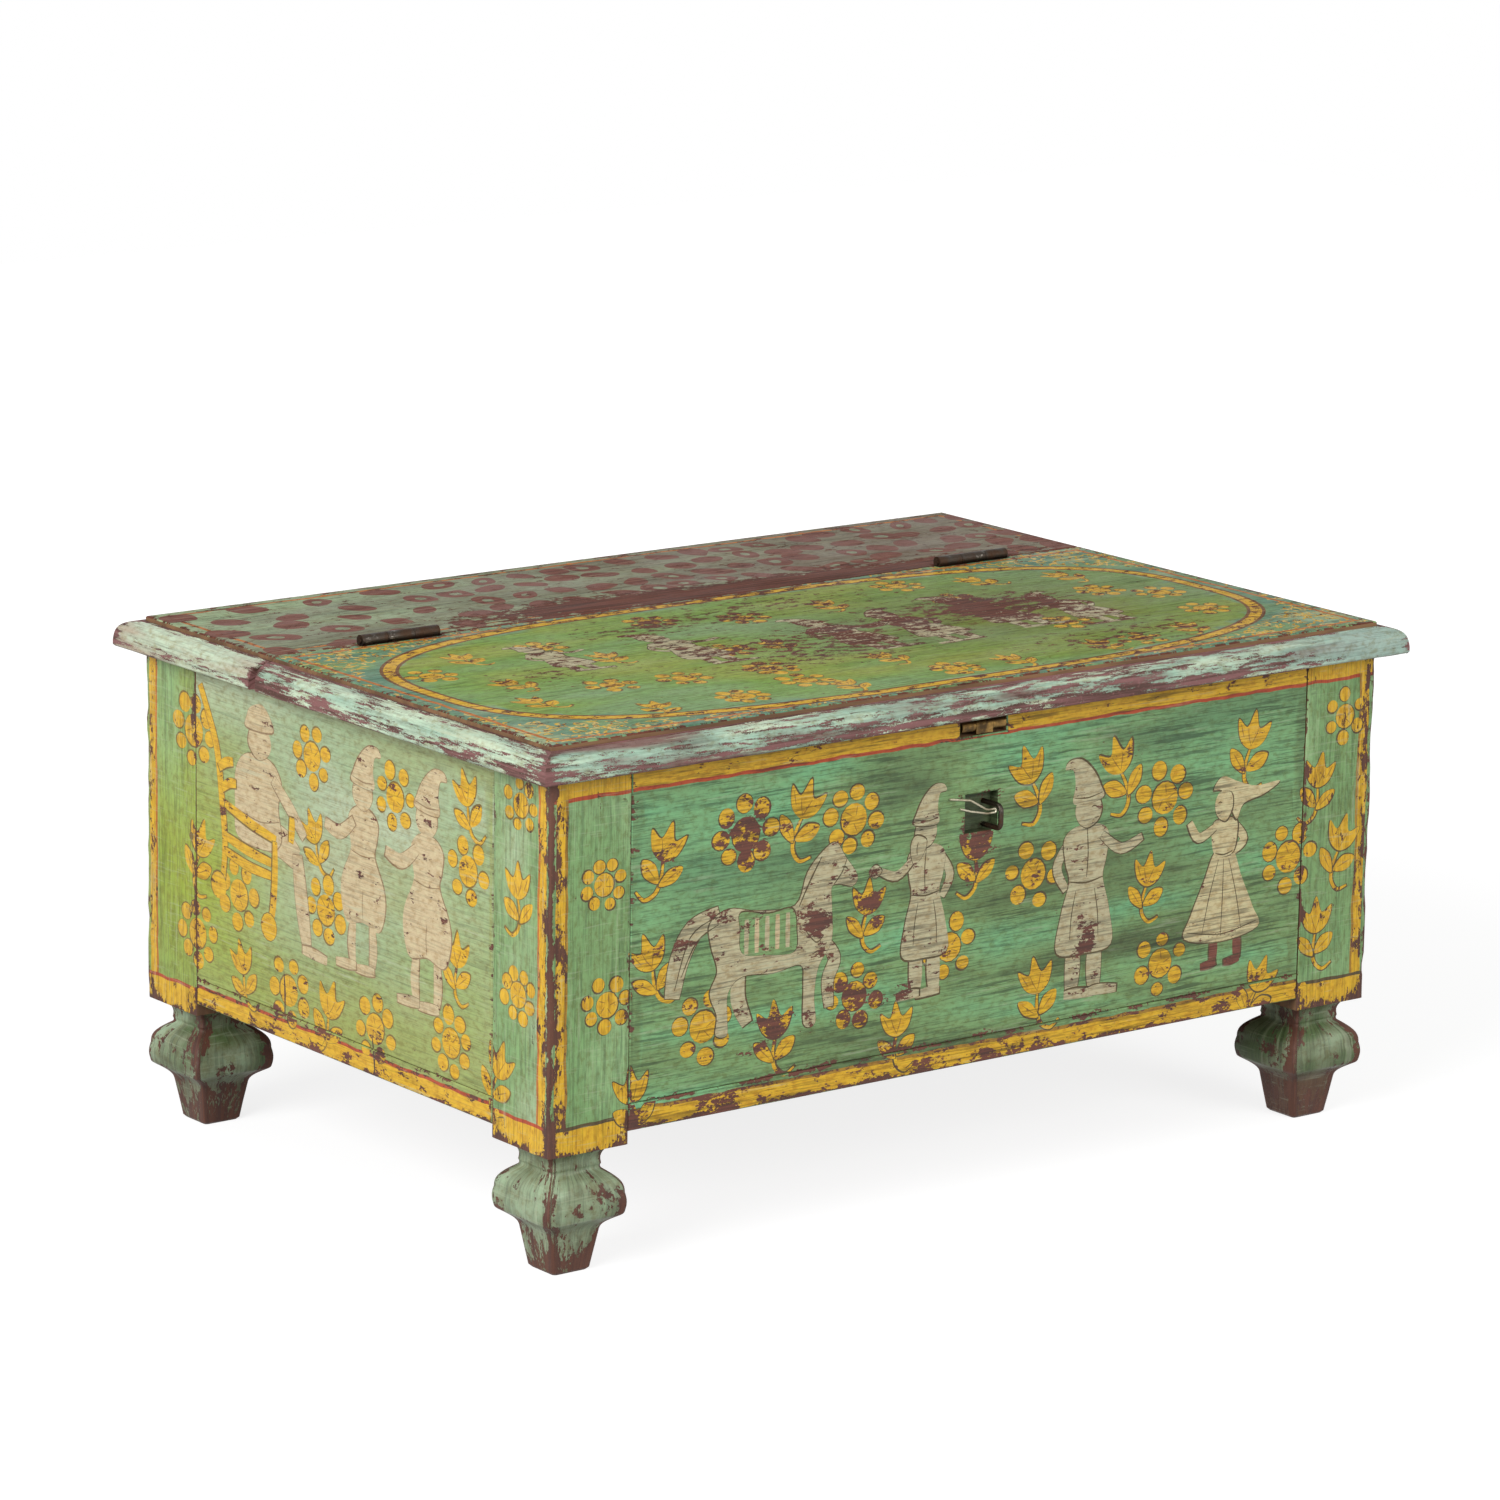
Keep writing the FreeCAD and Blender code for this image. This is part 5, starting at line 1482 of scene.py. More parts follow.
MOULDING_WEAR_SHIFT = {"rear_left_moulding": -0.15}
MOULDING_WORN = {"lid_front_moulding": ((0.08, 0.22, 0.10), (0.44, 0.11, -0.34))}
MOULDING_WEAR_DEPTH = 0.0010
MOULDING_SMOOTH = math.radians(40)
LID_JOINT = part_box("lid_panel")[1][1]
REAR_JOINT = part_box("rear_top_board")[0][1]
JOINT_BEVEL = 0.0045


def moulding_profile():
    """(out, height, wear) round the section, from the inner foot outward and back over the ovolo."""
    top = BODY_TOP + MOULDING_HEIGHT
    nose = (OVERHANG, BODY_TOP + NOSE_HEIGHT)
    crest = (QUIRK * CREST_SHARE, top)
    line = [(0, BODY_TOP, UNDER_WEAR), (OVERHANG / 2, BODY_TOP, UNDER_WEAR),
            (OVERHANG - TOE_BEVEL, BODY_TOP, TOE_WEAR), (OVERHANG, BODY_TOP + TOE_BEVEL, NOSE_WEAR)]
    normal = Vector((nose[1] - crest[1], crest[0] - nose[0])).normalized()
    for step in range(OVOLO_STEPS + 1):
        share = step / OVOLO_STEPS
        spot = blend(nose, crest, share)
        bulge = OVOLO_BELLY * math.sin(math.pi * share)
        worn = OVOLO_WEAR + OVOLO_EDGE_WEAR * (abs(share - 0.5) * 2) ** OVOLO_EDGE_POWER
        worn += OVOLO_LOW_WEAR * (1 - share)
        line.append((spot[0] - normal[0] * bulge, spot[1] - normal[1] * bulge, worn))
    for out_share, dip_share, worn in QUIRK_SHARES:
        line.append((QUIRK * out_share, top - QUIRK_DIP * dip_share, worn))
    return line


def moulding_wear(name, along, worn, end_far):
    """Wear of a moulding at a place along it, from the wear of its section there."""
    patch = noise.noise(Vector((along * MOULDING_PATCH_WAVES, 0, level_of(name))))
    amount = worn + MOULDING_END_WEAR * math.exp(-end_far / MOULDING_END) + MOULDING_PATCH_WEAR * patch
    amount += MOULDING_WEAR_SHIFT.get(name, 0)
    for place, reach, strength in MOULDING_WORN.get(name, ()):
        amount += strength * math.exp(-((along - place) / reach) ** 2)
    return amount


def moulding(name, body, side, start_of, end_of, ground):
    """A strip along one side; start_of and end_of give where it ends, by how far out."""
    face = SIDES[side]
    profile = moulding_profile()
    level = level_of(name)
    length = end_of(0) - start_of(0)
    steps = max(int(length / MOULDING_STEP), 1)
    piece = Piece()
    rings, looks = [], []
    for step in range(steps + 1):
        share = step / steps
        end_far = min(share, 1 - share) * length
        ring, ring_looks = [], []
        girth = 0
        for rank, (out, height, worn) in enumerate(profile):
            along = start_of(out) + (end_of(out) - start_of(out)) * share
            if rank:
                girth += math.dist(profile[rank][:2], profile[rank - 1][:2])
            drift = drifting(along * MOULDING_WAVES[0], girth * MOULDING_WAVES[1], level)
            bite = MOULDING_WEAR_DEPTH * max(drift, 0) * worn * (0 < out < OVERHANG)
            ring.append(face.solid((along, height - bite), -out + bite))
            amount = moulding_wear(name, along, worn, end_far)
            ring_looks.append((GROUNDS[ground].coat((along, girth)), amount, (along, girth, level)))
        rings.append(piece.add_points(ring))
        looks.append(ring_looks)
    piece.add_strips(rings, looks)
    piece.add_face(rings[0], looks[0])
    piece.add_face(rings[-1][::-1], looks[-1][::-1])
    piece.make(name, body, [MOULDING_PAINT], MOULDING_SMOOTH)


# Materials
def put(tree, kind, inputs=(), **settings):
    made = tree.nodes.new("ShaderNode" + kind)
    for name, value in settings.items():
        setattr(made, name, value)
    for key, value in dict(inputs).items():
        if isinstance(value, bpy.types.NodeSocket):
            tree.links.new(value, made.inputs[key])
        else:
            made.inputs[key].default_value = value
    return made


def start_material(name):
    material = bpy.data.materials.new(name)
    material.use_nodes = True
    tree = material.node_tree
    tree.nodes.clear()
    shader = put(tree, "BsdfPrincipled")
    output = put(tree, "OutputMaterial")
    tree.links.new(shader.outputs["BSDF"], output.inputs["Surface"])
    return material, tree, shader


def read(tree, name, output):
    return put(tree, "Attribute", attribute_name=name).outputs[output]


def grainy(tree, vector, scales, detail, rough):
    place = put(tree, "VectorMath", {0: vector, 1: scales}, operation="MULTIPLY").outputs["Vector"]
    made = put(tree, "TexNoise", {"Vector": place, "Scale": 1.0, "Detail": detail, "Roughness": rough})
    return made.outputs["Fac"]


def reckon(tree, operation, first, second):
    return put(tree, "Math", {0: first, 1: second}, operation=operation).outputs[0]


def eased(tree, value, low, high, start, end):
    levels = {"Value": value, "From Min": low, "From Max": high, "To Min": start, "To Max": end}
    return put(tree, "MapRange", levels, interpolation_type="SMOOTHSTEP").outputs["Result"]


def mixed(tree, share, first, second, how="MIX"):
    made = put(tree, "Mix", data_type="RGBA", blend_type=how)
    ports = [socket for socket in made.inputs if socket.enabled]
    for socket, value in zip(ports, (share, first, second)):
        if isinstance(value, bpy.types.NodeSocket):
            tree.links.new(value, socket)
        elif isinstance(value, tuple):
            socket.default_value = (*value, 1.0)
        else:
            socket.default_value = value
    return next(socket for socket in made.outputs if socket.enabled)


def bumped(tree, shader, height, distance, strength):
    made = put(tree, "Bump", {"Height": height, "Distance": distance, "Strength": strength})
    tree.links.new(made.outputs["Normal"], shader.inputs["Normal"])


def shaded(colour, share):
    return tuple(level * share for level in colour)


PAINT_BUMP = 0.0006
PAINT_BUMP_STRENGTH = 0.8
PAINT_GRAINS = {
    # scale along the grain and across it, detail, roughness
    "long streak": (12, 270, 6.0, 0.66),
    "fine streak": (26, 640, 4.0, 0.62),
    "cross streak": (520, 30, 3.0, 0.6),
    "cloud": (12, 30, 4.0, 0.6),
    "speck": (420, 420, 3.0, 0.7),
    "blotch": (120, 190, 6.0, 0.68),
}
PAINT_RAMPS = {
    # noise from and to, and the share that it becomes
    "browned": (0.47, 0.66, 0.0, 0.7),
    "brightened": (0.50, 0.34, 0.0, 0.6),
    "dark streak": (0.485, 0.405, 0.0, 1.0),
    "dark cloud": (0.38, 0.60, 0.25, 1.0),
    "pale streak": (0.55, 0.63, 0.0, 1.0),
    "pale cloud": (0.44, 0.60, 0.0, 1.0),
    "primer": (0.38, 0.6, 0.0, 1.0),
    "primer speck": (0.56, 0.72, 0.0, 0.5),
    "lost": (-0.012, 0.016, 0.0, 1.0),
    "rough": (0.3, 0.7, 0.38, 0.56),
}
HATCH_RAMP = (0.48, 0.42)
CROSS_RAMP = (0.56, 0.68)
BROWNED = (0.66, 0.54, 0.38)
BRIGHTENED = (1.12, 1.24, 1.20)
DARKENED = (0.24, 0.25, 0.25)
FLAKE_NOISE = (7.0, 0.66)
CRUMB_NOISE = (4.0, 0.65)
CRUMB_STRETCH = (3, 6)
CRUMB_SHARE = 0.42
FIRM_LEVEL = 1.00
WEAR_SHARE = 0.62
PALE_PRIMER_SHARE = 1.7
LOST_ROUGHNESS = 0.16
LONG_RISE_SHARE = 0.5
FINE_RISE_SHARE = 0.3
SPECK_RISE_SHARE = 0.15
LOST_FALL_SHARE = 0.45


def aged_paint(name, streaks=0.82, hatch=0.46, cross=0.0, chip_stretch=1.9, chip_scale=85.0, rub=0.3,
               primer=PRIMER, shine=0.35):
    """Brushed paint that has worn in streaks along the grain and flaked down to its primer."""
    material, tree, shader = start_material(name)
    coat = read(tree, "coat", "Color")
    wear = read(tree, "wear", "Fac")
    grain = read(tree, "grain", "Vector")
    noises = {key: grainy(tree, grain, (along, across, 1), *rest)
              for key, (along, across, *rest) in PAINT_GRAINS.items()}

    def ramp(key, value):
        return eased(tree, value, *PAINT_RAMPS[key])

    def times(first, second):
        return reckon(tree, "MULTIPLY", first, second)

    def toned(levels):
        return mixed(tree, 1.0, coat, levels, "MULTIPLY")

    paint = mixed(tree, ramp("browned", noises["blotch"]), coat, toned(BROWNED))
    paint = mixed(tree, ramp("brightened", noises["blotch"]), paint, toned(BRIGHTENED))
    dark = times(ramp("dark streak", noises["long streak"]), ramp("dark cloud", noises["cloud"]))
    shade = toned(DARKENED)
    paint = mixed(tree, times(dark, streaks), paint, shade)
    paint = mixed(tree, eased(tree, noises["fine streak"], *HATCH_RAMP, 0.0, hatch), paint, shade)
    paint = mixed(tree, eased(tree, noises["cross streak"], *CROSS_RAMP, 0.0, cross), paint, CHALK)
    pale = times(ramp("pale streak", noises["long streak"]), ramp("pale cloud", noises["cloud"]))
    paint = mixed(tree, times(pale, rub), paint, CHALK)
    flake = grainy(tree, grain, (chip_scale / chip_stretch, chip_scale, 1), *FLAKE_NOISE)
    crumb_scales = [chip_scale * stretch for stretch in CRUMB_STRETCH]
    crumb = grainy(tree, grain, (*crumb_scales, 1), *CRUMB_NOISE)
    loose = reckon(tree, "ADD", flake, times(crumb, CRUMB_SHARE))
    firm = reckon(tree, "SUBTRACT", FIRM_LEVEL, times(wear, WEAR_SHARE))
    lost = ramp("lost", reckon(tree, "SUBTRACT", loose, firm))
    under = mixed(tree, ramp("primer", noises["long streak"]), DARK_PRIMER, primer)
    under = mixed(tree, ramp("primer speck", noises["speck"]), under, shaded(primer, PALE_PRIMER_SHARE))
    tree.links.new(mixed(tree, lost, paint, under), shader.inputs["Base Color"])
    rough = reckon(tree, "ADD", ramp("rough", noises["cloud"]), times(lost, LOST_ROUGHNESS))
    tree.links.new(rough, shader.inputs["Roughness"])
    shader.inputs["Specular IOR Level"].default_value = shine
    height = times(noises["long streak"], LONG_RISE_SHARE)
    height = reckon(tree, "ADD", height, times(noises["fine streak"], FINE_RISE_SHARE))
    height = reckon(tree, "ADD", height, times(noises["speck"], SPECK_RISE_SHARE))
    height = reckon(tree, "SUBTRACT", height, times(lost, LOST_FALL_SHARE))
    bumped(tree, shader, height, PAINT_BUMP, PAINT_BUMP_STRENGTH)
    return material


WOOD_GRAINS = {
    # scale along the grain and across it, detail, roughness
    "ring": (5.0, 42.0, 6.0, 0.6),
    "fibre": (30.0, 520.0, 4.0, 0.6),
    "stain": (11.0, 11.0, 5.0, 0.6),
    "warp": (6.0, 6.0, 3.0, 0.55),
}
WOOD_RAMPS = {
    # noise from and to, and the share that it becomes
    "ring": (0.36, 0.62, 0.0, 1.0),
    "fibre": (0.52, 0.34, 0.0, 0.45),
    "stain": (0.50, 0.72, 0.0, 0.5),
    "warp": (0.3, 0.7, 0.0, 0.25),
}
WOOD_ROUGH_RAMP = (0.3, 0.7, 0.62, 0.85)
FIBRE_SHARE = 0.35
STAIN_SHARE = 0.55
WARP_SHARE = 1.15
WOOD_BUMP = 0.0005
WOOD_BUMP_STRENGTH = 0.7


def bare_wood(name, along):
    """Old unpainted softwood with its grain along one axis of the frame."""
    material, tree, shader = start_material(name)
    place = put(tree, "TexCoord").outputs["Object"]
    noises, ramps = {}, {}
    for key, (lengthwise, across, *rest) in WOOD_GRAINS.items():
        scales = tuple(lengthwise if axis == along else across for axis in range(3))
        noises[key] = grainy(tree, place, scales, *rest)
        ramps[key] = eased(tree, noises[key], *WOOD_RAMPS[key])
    colour = mixed(tree, ramps["ring"], DARK_WOOD, BARE_WOOD)
    colour = mixed(tree, ramps["fibre"], colour, shaded(DARK_WOOD, FIBRE_SHARE))
    colour = mixed(tree, ramps["stain"], colour, shaded(DARK_WOOD, STAIN_SHARE))
    colour = mixed(tree, ramps["warp"], colour, shaded(BARE_WOOD, WARP_SHARE))
    tree.links.new(colour, shader.inputs["Base Color"])
    tree.links.new(eased(tree, noises["fibre"], *WOOD_ROUGH_RAMP), shader.inputs["Roughness"])
    height = reckon(tree, "ADD", noises["ring"], noises["fibre"])
    bumped(tree, shader, height, WOOD_BUMP, WOOD_BUMP_STRENGTH)
    return material


METAL_GRAINS = (
    # scales, detail and roughness of the patches, the pits and the scratches
    ((90.0, 90.0, 90.0), 6.0, 0.6),
    ((700.0, 700.0, 700.0), 4.0, 0.65),
    ((60.0, 1500.0, 1500.0), 3.0, 0.6),
)
METAL_RAMPS = {
    # noise from and to, and the share that it becomes
    "stained": (0.40, 0.66, 0.0, 1.0),
    "proud": (0.42, 0.30, 0.0, 1.0),
    "scratched": (0.45, 0.62, 0.0, 1.0),
    "pitted": (0.55, 0.72, 0.0, 0.6),
}
METAL_ROUGH_RAMP = (0.3, 0.7)
METAL_ROUGH_SHIFTS = (-0.12, 0.16)
PIT_SHARE = 0.4
METAL_BUMP = 0.00025
METAL_BUMP_STRENGTH = 0.8


def old_metal(name, main, worn, stain, rough, metallic=1.0):
    """Aged metal: darkened, stained in patches, rubbed bright where it stands proud."""
    material, tree, shader = start_material(name)
    place = put(tree, "TexCoord").outputs["Object"]
    patch, pit, scratch = (grainy(tree, place, *values) for values in METAL_GRAINS)

    def ramp(key, value):
        return eased(tree, value, *METAL_RAMPS[key])

    colour = mixed(tree, ramp("stained", patch), main, stain)
    rubbed = reckon(tree, "MULTIPLY", ramp("proud", patch), ramp("scratched", scratch))
    colour = mixed(tree, rubbed, colour, worn)
    colour = mixed(tree, ramp("pitted", pit), colour, shaded(stain, PIT_SHARE))
    tree.links.new(colour, shader.inputs["Base Color"])
    shader.inputs["Metallic"].default_value = metallic
    roughs = [rough + shift for shift in METAL_ROUGH_SHIFTS]
    tree.links.new(eased(tree, patch, *METAL_ROUGH_RAMP, *roughs), shader.inputs["Roughness"])
    bumped(tree, shader, reckon(tree, "ADD", pit, scratch), METAL_BUMP, METAL_BUMP_STRENGTH)
    return material


POST_PRIMER = tint(92, 58, 44)
MOULDING_PRIMER = tint(124, 84, 82)
PANEL_PAINT = aged_paint("panel_paint")
LEFT_PAINT = aged_paint("left_panel_paint", streaks=0.34, hatch=0.26, rub=0.4)
POST_PAINT = aged_paint("post_paint", streaks=0.4, hatch=0.36, cross=0.22, chip_stretch=2.0,
                        primer=POST_PRIMER)
TOP_PAINT = aged_paint("top_paint", streaks=0.5, hatch=0.36, chip_stretch=1.8, chip_scale=130.0, rub=0.2,
                       shine=0.05)
MOULDING_PAINT = aged_paint("moulding_paint", streaks=0.4, hatch=0.3, chip_stretch=7.0, chip_scale=260.0,
                            rub=0.6, primer=MOULDING_PRIMER)
WOODS = [bare_wood("bare_wood_" + letter, axis) for axis, letter in enumerate("xyz")]
IRON = old_metal("dark_iron", tint(66, 60, 54), tint(170, 162, 150), tint(70, 52, 40), 0.46)
BRASS = old_metal("dull_brass", tint(132, 104, 60), tint(196, 164, 104), tint(72, 58, 40), 0.42)
WIRE = old_metal("pale_wire", tint(196, 188, 164), tint(226, 220, 200), tint(160, 148, 122), 0.38, 0.6)


# Building the pieces
PEG_INSET = 0.069
PEG_HEIGHTS = (0.124, 0.2561, 0.3771)
PEG_RADIUS = 0.0034
NAIL_RADIUS = 0.0032
NAIL_PLACES = ((-0.255, 0.279), (0.0, 0.279), (0.255, 0.279), (-0.414, 0.19415), (0.414, 0.19415))
PLUG_RISE = 0.00025
PLUG_ROUND_SHARE = 0.7
PLUG_SINK = 0.0010
PLUG_WEAR = 0.3
PLUG_RINGS = ((0.55, PLUG_RISE), (0.92, PLUG_RISE * PLUG_ROUND_SHARE), (1.0, 0), (1.0, -PLUG_SINK))


def coat_at(picture, ground, point):
    """The paint that a picture has at a point."""
    for shape in reversed(picture):
        if shape.coat and inside(shape.points, np.array([point[0]]), np.array([point[1]]))[0]:
            return shape.coat
    return ground(point)


def add_plug(piece, face, middle, radius, coat):
    """The painted end of a peg, or a nail head, standing a hair proud of its board."""
    rings, looks = [], []
    for reach_share, rise in PLUG_RINGS:
        flat = disc(middle, radius * reach_share)
        rings.append(piece.add_points(face.solid(point, -rise) for point in flat))
        looks.append([(coat, PLUG_WEAR, (point[0], point[1], 0)) for point in flat])
    piece.add_strips(rings, looks)
    piece.add_face(rings[0], looks[0])
    piece.add_face(rings[-1][::-1], looks[-1])


def plugs(pictures, rear_board):
    pegs = Piece()
    for side, picture in pictures.items():
        for sign in (-1, 1):
            ground = GROUNDS[post_ground(side, sign < 0)].coat
            for height in PEG_HEIGHTS:
                spot = (sign * (HALF_SPANS[side] - PEG_INSET), height)
                add_plug(pegs, SIDES[side], spot, PEG_RADIUS, coat_at(picture, ground, spot))
    pegs.make("frame_pegs", "carcase", [POST_PAINT])
    nails = Piece()
    ground = GROUNDS["rear board"].coat
    for spot in NAIL_PLACES:
        add_plug(nails, SIDES["top"], spot, NAIL_RADIUS, coat_at(rear_board, ground, spot))
    nails.make("rear_board_nails", "carcase", [TOP_PAINT])


def box_flat(name, side):
    low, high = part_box(name)
    corners = [SIDES[side].flat(Vector(corner)) for corner in (low, high)]
    spans = [sorted(corner[axis] for corner in corners) for axis in (0, 1)]
    return (spans[0][0], spans[1][0]), (spans[0][1], spans[1][1])


RUBBED_PLACES = {
    # pixel, reach, and how much more worn
    "front_panel": (
        ((746, 834), (0.030, 0.028), 0.34), ((700, 930), (0.05, 0.02), 0.12),
        ((854, 1000), (0.026, 0.024), 0.32), ((775, 1030), (0.030, 0.020), 0.30),
        ((870, 905), (0.020, 0.022), 0.30), ((976, 850), (0.020, 0.024), 0.34),
        ((815, 925), (0.016, 0.030), 0.30), ((1085, 935), (0.012, 0.020), 0.30),
        ((897, 985), (0.020, 0.014), 0.25), ((1140, 740), (0.020, 0.012), 0.25),
        ((663, 860), (0.020, 0.012), 0.2), ((895, 1060), (0.020, 0.012), 0.3),
    ),
    "front_rail": (
        ((700, 1110), (0.06, 0.010), 0.20), ((960, 1060), (0.05, 0.010), 0.22),
        ((1150, 1030), (0.05, 0.010), 0.18),
    ),
    "lid_panel": (
        ((560, 675), (0.05, 0.04), 0.18), ((800, 640), (0.10, 0.05), 0.22),
        ((830, 655), (0.10, 0.03), 0.20), ((950, 610), (0.10, 0.05), 0.22),
        ((1010, 605), (0.07, 0.05), 0.22), ((640, 630), (0.08, 0.03), 0.20),
        ((1150, 625), (0.05, 0.04), 0.18), ((760, 605), (0.12, 0.04), 0.20),
        ((1080, 640), (0.06, 0.04), 0.16),
    ),
    "rear_top_board": (
        ((700, 592), (0.20, 0.022), 0.55), ((850, 575), (0.15, 0.022), 0.45),
        ((560, 606), (0.10, 0.02), 0.3),
    ),
}
RAIL_WEAR = 0.05
LID_WEAR = 0.10
REAR_BOARD_WEAR = 0.16
RECESS = (0.034, 0.032, 0.010)
RECESS_DROP = 0.082
NOTCH = (0.048, 0.018)
PANEL_THICKNESS = 0.022
TOP_THICKNESS = TOP_FACE - BODY_TOP
TOP_FINISHES = [TOP_PAINT, WOODS[0]]
HINGES = ("left", "right")
BARREL_NOTCH = 0.0056
LEAF_NOTCH = 0.0016
HINGE_ROOM = 0.0005
HASP_POCKET = 0.0016
HASP_START_SHARE = 0.4


def wear_of(name, side, more):
    """The wear of a board, with the places where the photo shows it rubbed."""
    places = RUBBED_PLACES.get(name, ())
    spots = [(SIDES[side].at_pixel(pixel), reach, strength) for pixel, reach, strength in places]
    return Wear(BASE_WEAR + more, spots)


def notched(outline, top):
    """A panel's outline with the notch for the hasp in its top edge."""
    half, low = NOTCH[0] / 2, top - NOTCH[1]
    return [*outline[:3], (half, top), (half, low), (-half, low), (-half, top), outline[3]]


def recess(top):
    """The pocket for the staple: its outline and its depth."""
    width, height, depth = RECESS
    middle = top - RECESS_DROP
    return rectangle(-width / 2, middle - height / 2, width / 2, middle + height / 2), depth


def side_board(kind, side, picture):
    """The panel or the rail of one side, between its posts."""
    name = f"{side}_{kind}"
    low, high = box_flat(name, side)
    inner = HALF_SPANS[side] - POST_WIDTH - SEAM_GAP
    outline = rectangle(-inner, low[1] + SEAM_GAP, inner, high[1])
    pockets = []
    if name == "front_panel":
        outline = notched(outline, high[1])
        pockets = [recess(high[1])]
    wear = wear_of(name, side, RAIL_WEAR if kind == "rail" else 0)
    paint = LEFT_PAINT if side == "left" else PANEL_PAINT
    wood = WOODS[0 if side in ("front", "rear") else 1]
    board(name, side, outline, PANEL_THICKNESS, picture, GROUNDS[side].coat, wear, "carcase",
          [paint, wood], pockets)


def hinge_ends(label):
    """Where the cut for a hinge barrel starts and ends along the joint."""
    low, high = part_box(f"hinge_{label}_pin")
    return low[0] - HINGE_ROOM, high[0] + HINGE_ROOM


def hinge_notch(sign, joint):
    """Corners of the cut for each hinge barrel in an edge of a top board, left to right."""
    deep = joint + sign * BARREL_NOTCH
    corners = []
    for label in HINGES:
        left, right = hinge_ends(label)
        corners += [(left, joint), (left, deep), (right, deep), (right, joint)]
    return corners


def hinge_fill(piece, sign, joint):
    """Wood below each barrel, behind the hinge leaf."""
    deep = joint + sign * BARREL_NOTCH
    face = joint + sign * LEAF_NOTCH
    levels = (TOP_FACE - BARREL_NOTCH / 2, BODY_TOP)
    board_name = "rear" if sign > 0 else "lid"
    for label in HINGES:
        left, right = hinge_ends(label)
        leaf_low, leaf_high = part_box(f"hinge_{label}_{board_name}_leaf")
        plan = turned_left([(left, deep), (left, joint), (leaf_low[0], joint), (leaf_low[0], face),
                            (leaf_high[0], face), (leaf_high[0], joint), (right, joint), (right, deep)])
        blanks = [(MAROON, BARE_WEAR, (0, 0, 0))] * len(plan)
        upper, lower = [piece.add_points((*spot, level) for spot in plan) for level in levels]
        piece.add_strip(upper, lower, blanks, blanks, 1)
        piece.add_face(upper, blanks, 1)
        piece.add_face(lower[::-1], blanks, 1)


def lid_ground(point):
    return GROUNDS["lid" if in_oval(point) < 1 else "spandrel"].coat(point)


def top_boards():
    """The lid's panel and the rear board; gives the rear board's picture."""
    low, high = box_flat("lid_panel", "top")
    outline = [low, (high[0], low[1]), high, *hinge_notch(-1, high[1])[::-1], (low[0], high[1])]
    hasp_low, hasp_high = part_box("hasp_plate")
    hasp_start = -HALF_DEPTH + PANEL_THICKNESS * HASP_START_SHARE
    leaf = rectangle(hasp_low[0], hasp_start, hasp_high[0], hasp_high[1])
    board("lid_panel", "top", outline, TOP_THICKNESS, lid_picture(low, high), lid_ground,
          wear_of("lid_panel", "top", LID_WEAR), "lid", TOP_FINISHES,
          back_pockets=[(leaf, HASP_POCKET)], extra=lambda piece: hinge_fill(piece, -1, high[1]))
    rear_low, rear_high = box_flat("rear_top_board", "top")
    outline = [rear_low, *hinge_notch(1, rear_low[1]), (rear_high[0], rear_low[1]), rear_high,
               (rear_low[0], rear_high[1])]
    picture = rear_board_picture(rear_low, rear_high)
    board("rear_top_board", "top", outline, TOP_THICKNESS, picture, GROUNDS["rear board"].coat,
          wear_of("rear_top_board", "top", REAR_BOARD_WEAR), "carcase", TOP_FINISHES,
          extra=lambda piece: hinge_fill(piece, 1, rear_low[1]))
    return picture


def mouldings():
    def mitre(edge, sign):
        return lambda out: edge + sign * out

    def bevel(edge, sign):
        return lambda out: edge - sign * JOINT_BEVEL * out / OVERHANG

    long_ends = (mitre(-HALF_LENGTH, -1), mitre(HALF_LENGTH, 1))
    low_mitre, high_mitre = mitre(-HALF_DEPTH, -1), mitre(HALF_DEPTH, 1)
    moulding("lid_front_moulding", "lid", "front", *long_ends, "front moulding")
    moulding("rear_moulding", "carcase", "rear", *long_ends, "moulding")
    moulding("lid_left_moulding", "lid", "left", bevel(-LID_JOINT, -1), high_mitre, "left moulding")
    moulding("lid_right_moulding", "lid", "right", low_mitre, bevel(LID_JOINT, 1), "moulding")
    moulding("rear_left_moulding", "carcase", "left", low_mitre, bevel(-REAR_JOINT, 1),
             "rear left moulding")
    moulding("rear_right_moulding", "carcase", "right", bevel(REAR_JOINT, -1), high_mitre, "moulding")


def carried_over():
    """Materials of the CAD pieces that are shown as they are."""
    for name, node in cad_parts.items():
        finish = finish_of(name)
        if not node.material_slots:
            node.data.materials.append(finish)
        for slot in node.material_slots:
            slot.material = finish


def finish_of(name):
    if name in ("hasp_plate", "hasp_stub"):
        return BRASS
    if name == "keeper_wire":
        return WIRE
    lengthwise = ("front_", "rear_bearer", "floor_", "rear_rail", "rear_panel")
    if name.startswith(lengthwise) and "nails" not in name:
        return WOODS[0]
    if name.startswith(("left_", "right_", "lid_batten")):
        return WOODS[1]
    return IRON


# Stage, lights and camera
FLOOR_HALF = 4.5
FLOOR_GREY = (0.28, 0.28, 0.28, 1.0)
FLOOR_GLOW = 0.82
FLOOR_FADE = (0.7, 2.4)
WHITE_LIGHT = (1, 1, 1, 1)
SKY_STRENGTH = 0.34
KEY_PLACE = (-3.6, -1.2, 2.2)
KEY_SIZE = 2.6
KEY_POWER = 174.0
FILL_PLACE = (0.9, -4.1, 2.0)
FILL_SIZE = 2.4
FILL_POWER = 96.0
AIM = Vector((0.0, 0.0, 0.2))
CAMERA_REACH = 100


def lamp(name, place, size, power):
    light = bpy.data.lights.new(name, "AREA")
    light.shape = "DISK"
    light.size = size
    light.energy = power
    made = bpy.data.objects.new(name, light)
    made.location = place
    made.rotation_euler = (AIM - Vector(place)).to_track_quat("-Z", "Y").to_euler()
    bpy.context.scene.collection.objects.link(made)


